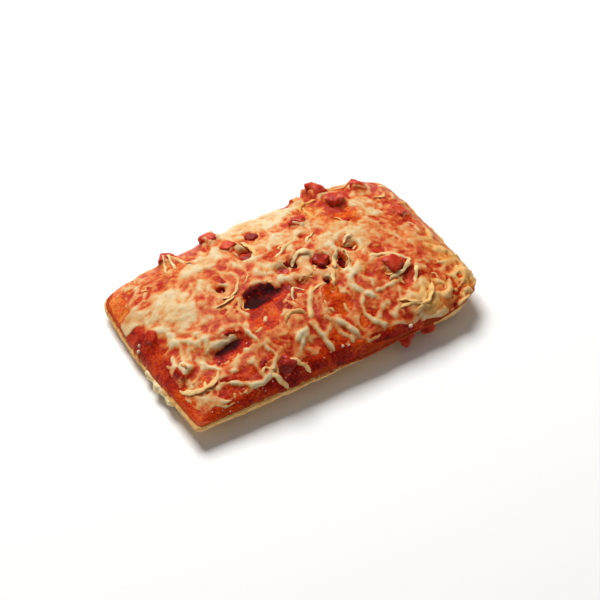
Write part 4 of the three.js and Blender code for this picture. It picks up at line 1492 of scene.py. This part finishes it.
@dataclass
class PaleCrumbs:
    """Grains of crumb and hard cheese that show pale on the dark sauce."""

    form: SliceForm
    toppings: ToppingMap
    count: int = 42
    seed: int = 8

    # Crumbs with a place of their own: x, y and size.
    PLACED = ((-78, 5.5, 0.8), (-76.5, 7, 0.7), (1, -46, 0.7), (33, -48.5, 1.0), (-2, -45.5, 0.6))

    def build(self) -> None:
        """Scatter small uneven grains along the near edge and a few elsewhere."""
        rng = np.random.default_rng(self.seed)
        near = rng.normal((-44, -46.5), (15, 1.8), (self.count, 2))
        rest = rng.uniform((-78, -48), (70, 0), (self.count // 4, 2))
        fixed = np.array(self.PLACED)
        places = np.concatenate([near, rest, fixed[:, :2]])
        sizes = np.concatenate([rng.uniform(0.1, 0.34, len(near) + len(rest)), fixed[:, 2]])
        sunk = self.toppings.raster.sample(self.toppings.cover, places[:, 0], places[:, 1]) < 0.3
        sunk[-len(fixed) :] = True
        grains = [self._grain(p, r, rng) for p, r, on_sauce in zip(places, sizes, sunk) if on_sauce]
        points, faces = joined(grains)
        make_piece("pale_crumbs", points, faces, CrumbFinish().build())

    def _grain(self, place: Array, radius: float, rng: np.random.Generator) -> tuple[Array, Array]:
        """A squashed ball of a few rings, half sunk in the sauce."""
        tilt, turn = np.arange(1, 5)[:, None] / 5 * math.pi, np.arange(7)[None, :] / 7 * 2 * math.pi
        tilt, turn = np.broadcast_arrays(tilt, turn)
        ball = np.stack([np.sin(tilt) * np.cos(turn), np.sin(tilt) * np.sin(turn), np.cos(tilt)], -1)
        points, faces = ringed(np.array([0.0, 0.0, 1.0]), ball, np.array([0.0, 0.0, -1.0]))
        points = points * rng.uniform(0.7, 1.3, 3) * (1 + rng.uniform(-0.2, 0.2, (len(points), 1)))
        x, y = np.array([place[0]]), np.array([place[1]])
        base = self.form.lifted(x, y, self.toppings.surface(x, y) + radius * 0.4)[0]
        return points * radius + base, faces


@dataclass
class TornCrumb:
    """Pale torn crumb that shows below the left rim, where the slice was pulled from its neighbour."""

    start: float = -2.0
    end: float = -30.0
    rim_x: float = -78.8
    rim_z: float = 4.8
    radius: float = 2.3
    along: int = 150
    around: int = 28

    def build(self) -> None:
        """A ragged bead along the edge, pushed about by noise at three sizes."""
        s = np.linspace(0, 1, self.along)
        y = lerp(self.start, self.end, s)
        x = self.rim_x + 0.8 * s + 0.5 * np.sin(9 * s)
        z = self.rim_z + 1.6 * s
        taper = np.sqrt(np.clip(np.minimum(s, 1 - s) * 8, 0.02, 1.0))
        radius = self.radius * taper * (1 + 0.25 * np.sin(17 * s))
        turn = np.arange(self.around) / self.around * 2 * math.pi
        out = np.cos(turn)[None, :] * radius[:, None]
        tall = np.sin(turn)[None, :] * radius[:, None] * 0.85
        rings = np.stack(
            [
                np.broadcast_to(x[:, None], out.shape) + out,
                np.broadcast_to(y[:, None], out.shape),
                z[:, None] + tall,
            ],
            axis=-1,
        )
        middle = np.stack([x, y, z], axis=-1)
        push = lattice_noise(rings, 2.2, 13) * 0.3 + lattice_noise(rings, 0.9, 14) * 0.22
        push = push + lattice_noise(rings, 0.5, 15) * 0.12
        rings = middle[:, None] + (rings - middle[:, None]) * (1 + push[..., None])
        points, faces = ringed(middle[0] + (0, 0.2, 0), rings, middle[-1] - (0, 0.2, 0))
        values = {"toast": np.full(len(points), 0.02), "oil": np.zeros(len(points))}
        make_piece("torn_crumb", points, faces, CrustFinish().build(), (), values)


# --- Studio ---


@dataclass
class Studio:
    """A white floor, a soft key light from behind at the left, a white sky, and the camera.

    The light's and the floor's sizes are in metres.
    """

    azimuth: float = -31.2
    elevation: float = 45.5
    aim: tuple[float, float, float] = (1.2, -4.3, 10.0)
    distance: float = 780.0
    lens: float = 100.0
    key_left: float = 0.28
    key_behind: float = 0.56
    key_distance: float = 1.6
    key_size: float = 0.8
    key_power: float = 33.0
    key_colour: tuple[float, float, float] = (1.0, 0.985, 0.965)
    sky: float = 0.2
    floor_half: float = 3.0
    floor_gap: float = 0.0002
    floor_colour: Colour = (0.9, 0.9, 0.9, 1.0)
    floor_roughness: float = 0.9

    def build(self) -> None:
        """Make the floor, the lights, the sky and the camera."""
        self._floor()
        self._sky()
        turn = math.radians(self.azimuth)
        right = Vector((math.cos(turn), math.sin(turn), 0.0))
        away = Vector((-math.sin(turn), math.cos(turn), 0.0))
        towards = (-right * self.key_left + away * self.key_behind + Vector((0, 0, 1))).normalized()
        self._key(towards)
        self._camera()

    def _floor(self) -> None:
        """A plain white floor."""
        g = Graph("white_floor")
        mesh = bpy.data.meshes.new("floor")
        half = self.floor_half
        places = [(-half, -half, 0.0), (half, -half, 0.0), (half, half, 0.0), (-half, half, 0.0)]
        mesh.from_pydata(places, [], [(0, 1, 2, 3)])
        mesh.materials.append(g.finish(self.floor_colour, self.floor_roughness, 0.1))
        floor = bpy.data.objects.new("floor", mesh)
        floor.location = (0.0, 0.0, -self.floor_gap)
        bpy.context.scene.collection.objects.link(floor)

    def _sky(self) -> None:
        """An even white sky."""
        world = bpy.data.worlds.new("sky")
        world.use_nodes = True
        background = world.node_tree.nodes["Background"]
        background.inputs["Color"].default_value = (1.0, 1.0, 1.0, 1.0)
        background.inputs["Strength"].default_value = self.sky
        bpy.context.scene.world = world
        bpy.context.scene.view_settings.view_transform = "Standard"

    def _key(self, towards: Vector) -> None:
        """A square soft box that looks at the slice."""
        data = bpy.data.lights.new("key", "AREA")
        data.energy = self.key_power
        data.size = self.key_size
        data.color = self.key_colour
        key = bpy.data.objects.new("key", data)
        key.location = towards * self.key_distance
        key.rotation_euler = (-towards).to_track_quat("-Z", "Y").to_euler()
        bpy.context.scene.collection.objects.link(key)

    def _camera(self) -> None:
        """The camera, aimed at the slice from the front left."""
        turn, rise = math.radians(self.azimuth), math.radians(self.elevation)
        back = Vector((math.sin(turn) * math.cos(rise), -math.cos(turn) * math.cos(rise), math.sin(rise)))
        data = bpy.data.cameras.new("camera")
        data.lens = self.lens
        data.sensor_width = 36.0
        data.clip_start = 0.01
        camera = bpy.data.objects.new("camera", data)
        camera.location = Vector(self.aim) * MM + back * self.distance * MM
        camera.rotation_euler = (-back).to_track_quat("-Z", "Y").to_euler()
        bpy.context.scene.collection.objects.link(camera)
        bpy.context.scene.camera = camera


# --- Everything together ---


def main() -> None:
    """Build the slice's parts in order, then the studio."""
    logging.basicConfig(level=logging.INFO, format="%(name)s: %(message)s", stream=sys.stdout)
    form, raster = SliceForm(), Raster()
    cubes = sorted(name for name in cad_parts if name.startswith("ham_cube"))
    ham_seats = [HamSeat.of(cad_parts[name], form) for name in cubes]
    toppings = ToppingMap(form, raster, ham_seats)
    log.info("toppings laid")
    BreadBase(form, toppings).build()
    layers = LayerMesh(form, raster)
    oil = raster.painted(0.52, ToppingMap.OIL) + 0.08 * raster.noise(2.0, 42)
    # Painted shade: the sauce is darker where the hollows are deep.
    oil = oil - 0.12 * ease(toppings.hollow, 1.0, 3.0)
    below = -toppings.sauce_depth - toppings.hollow
    finish = SauceFinish().build()
    layers.build("sauce_layer", "tomato_sauce", "sauce", finish, toppings.sauce, below, {"oil": oil})
    below = raster.blur(toppings.sauce, 0.5) - toppings.cheese_depth
    finish, values = CheeseFinish().build(), {"cream": toppings.cream, "gold": toppings.gold}
    layers.build("cheese_blanket", "melted_cheese", "cheese", finish, toppings.cheese, below, values)
    HamPieces().build(ham_seats)
    LooseShreds(form, toppings).build()
    PaleCrumbs(form, toppings).build()
    TornCrumb().build()
    Studio().build()


if __name__ == "__main__":
    main()
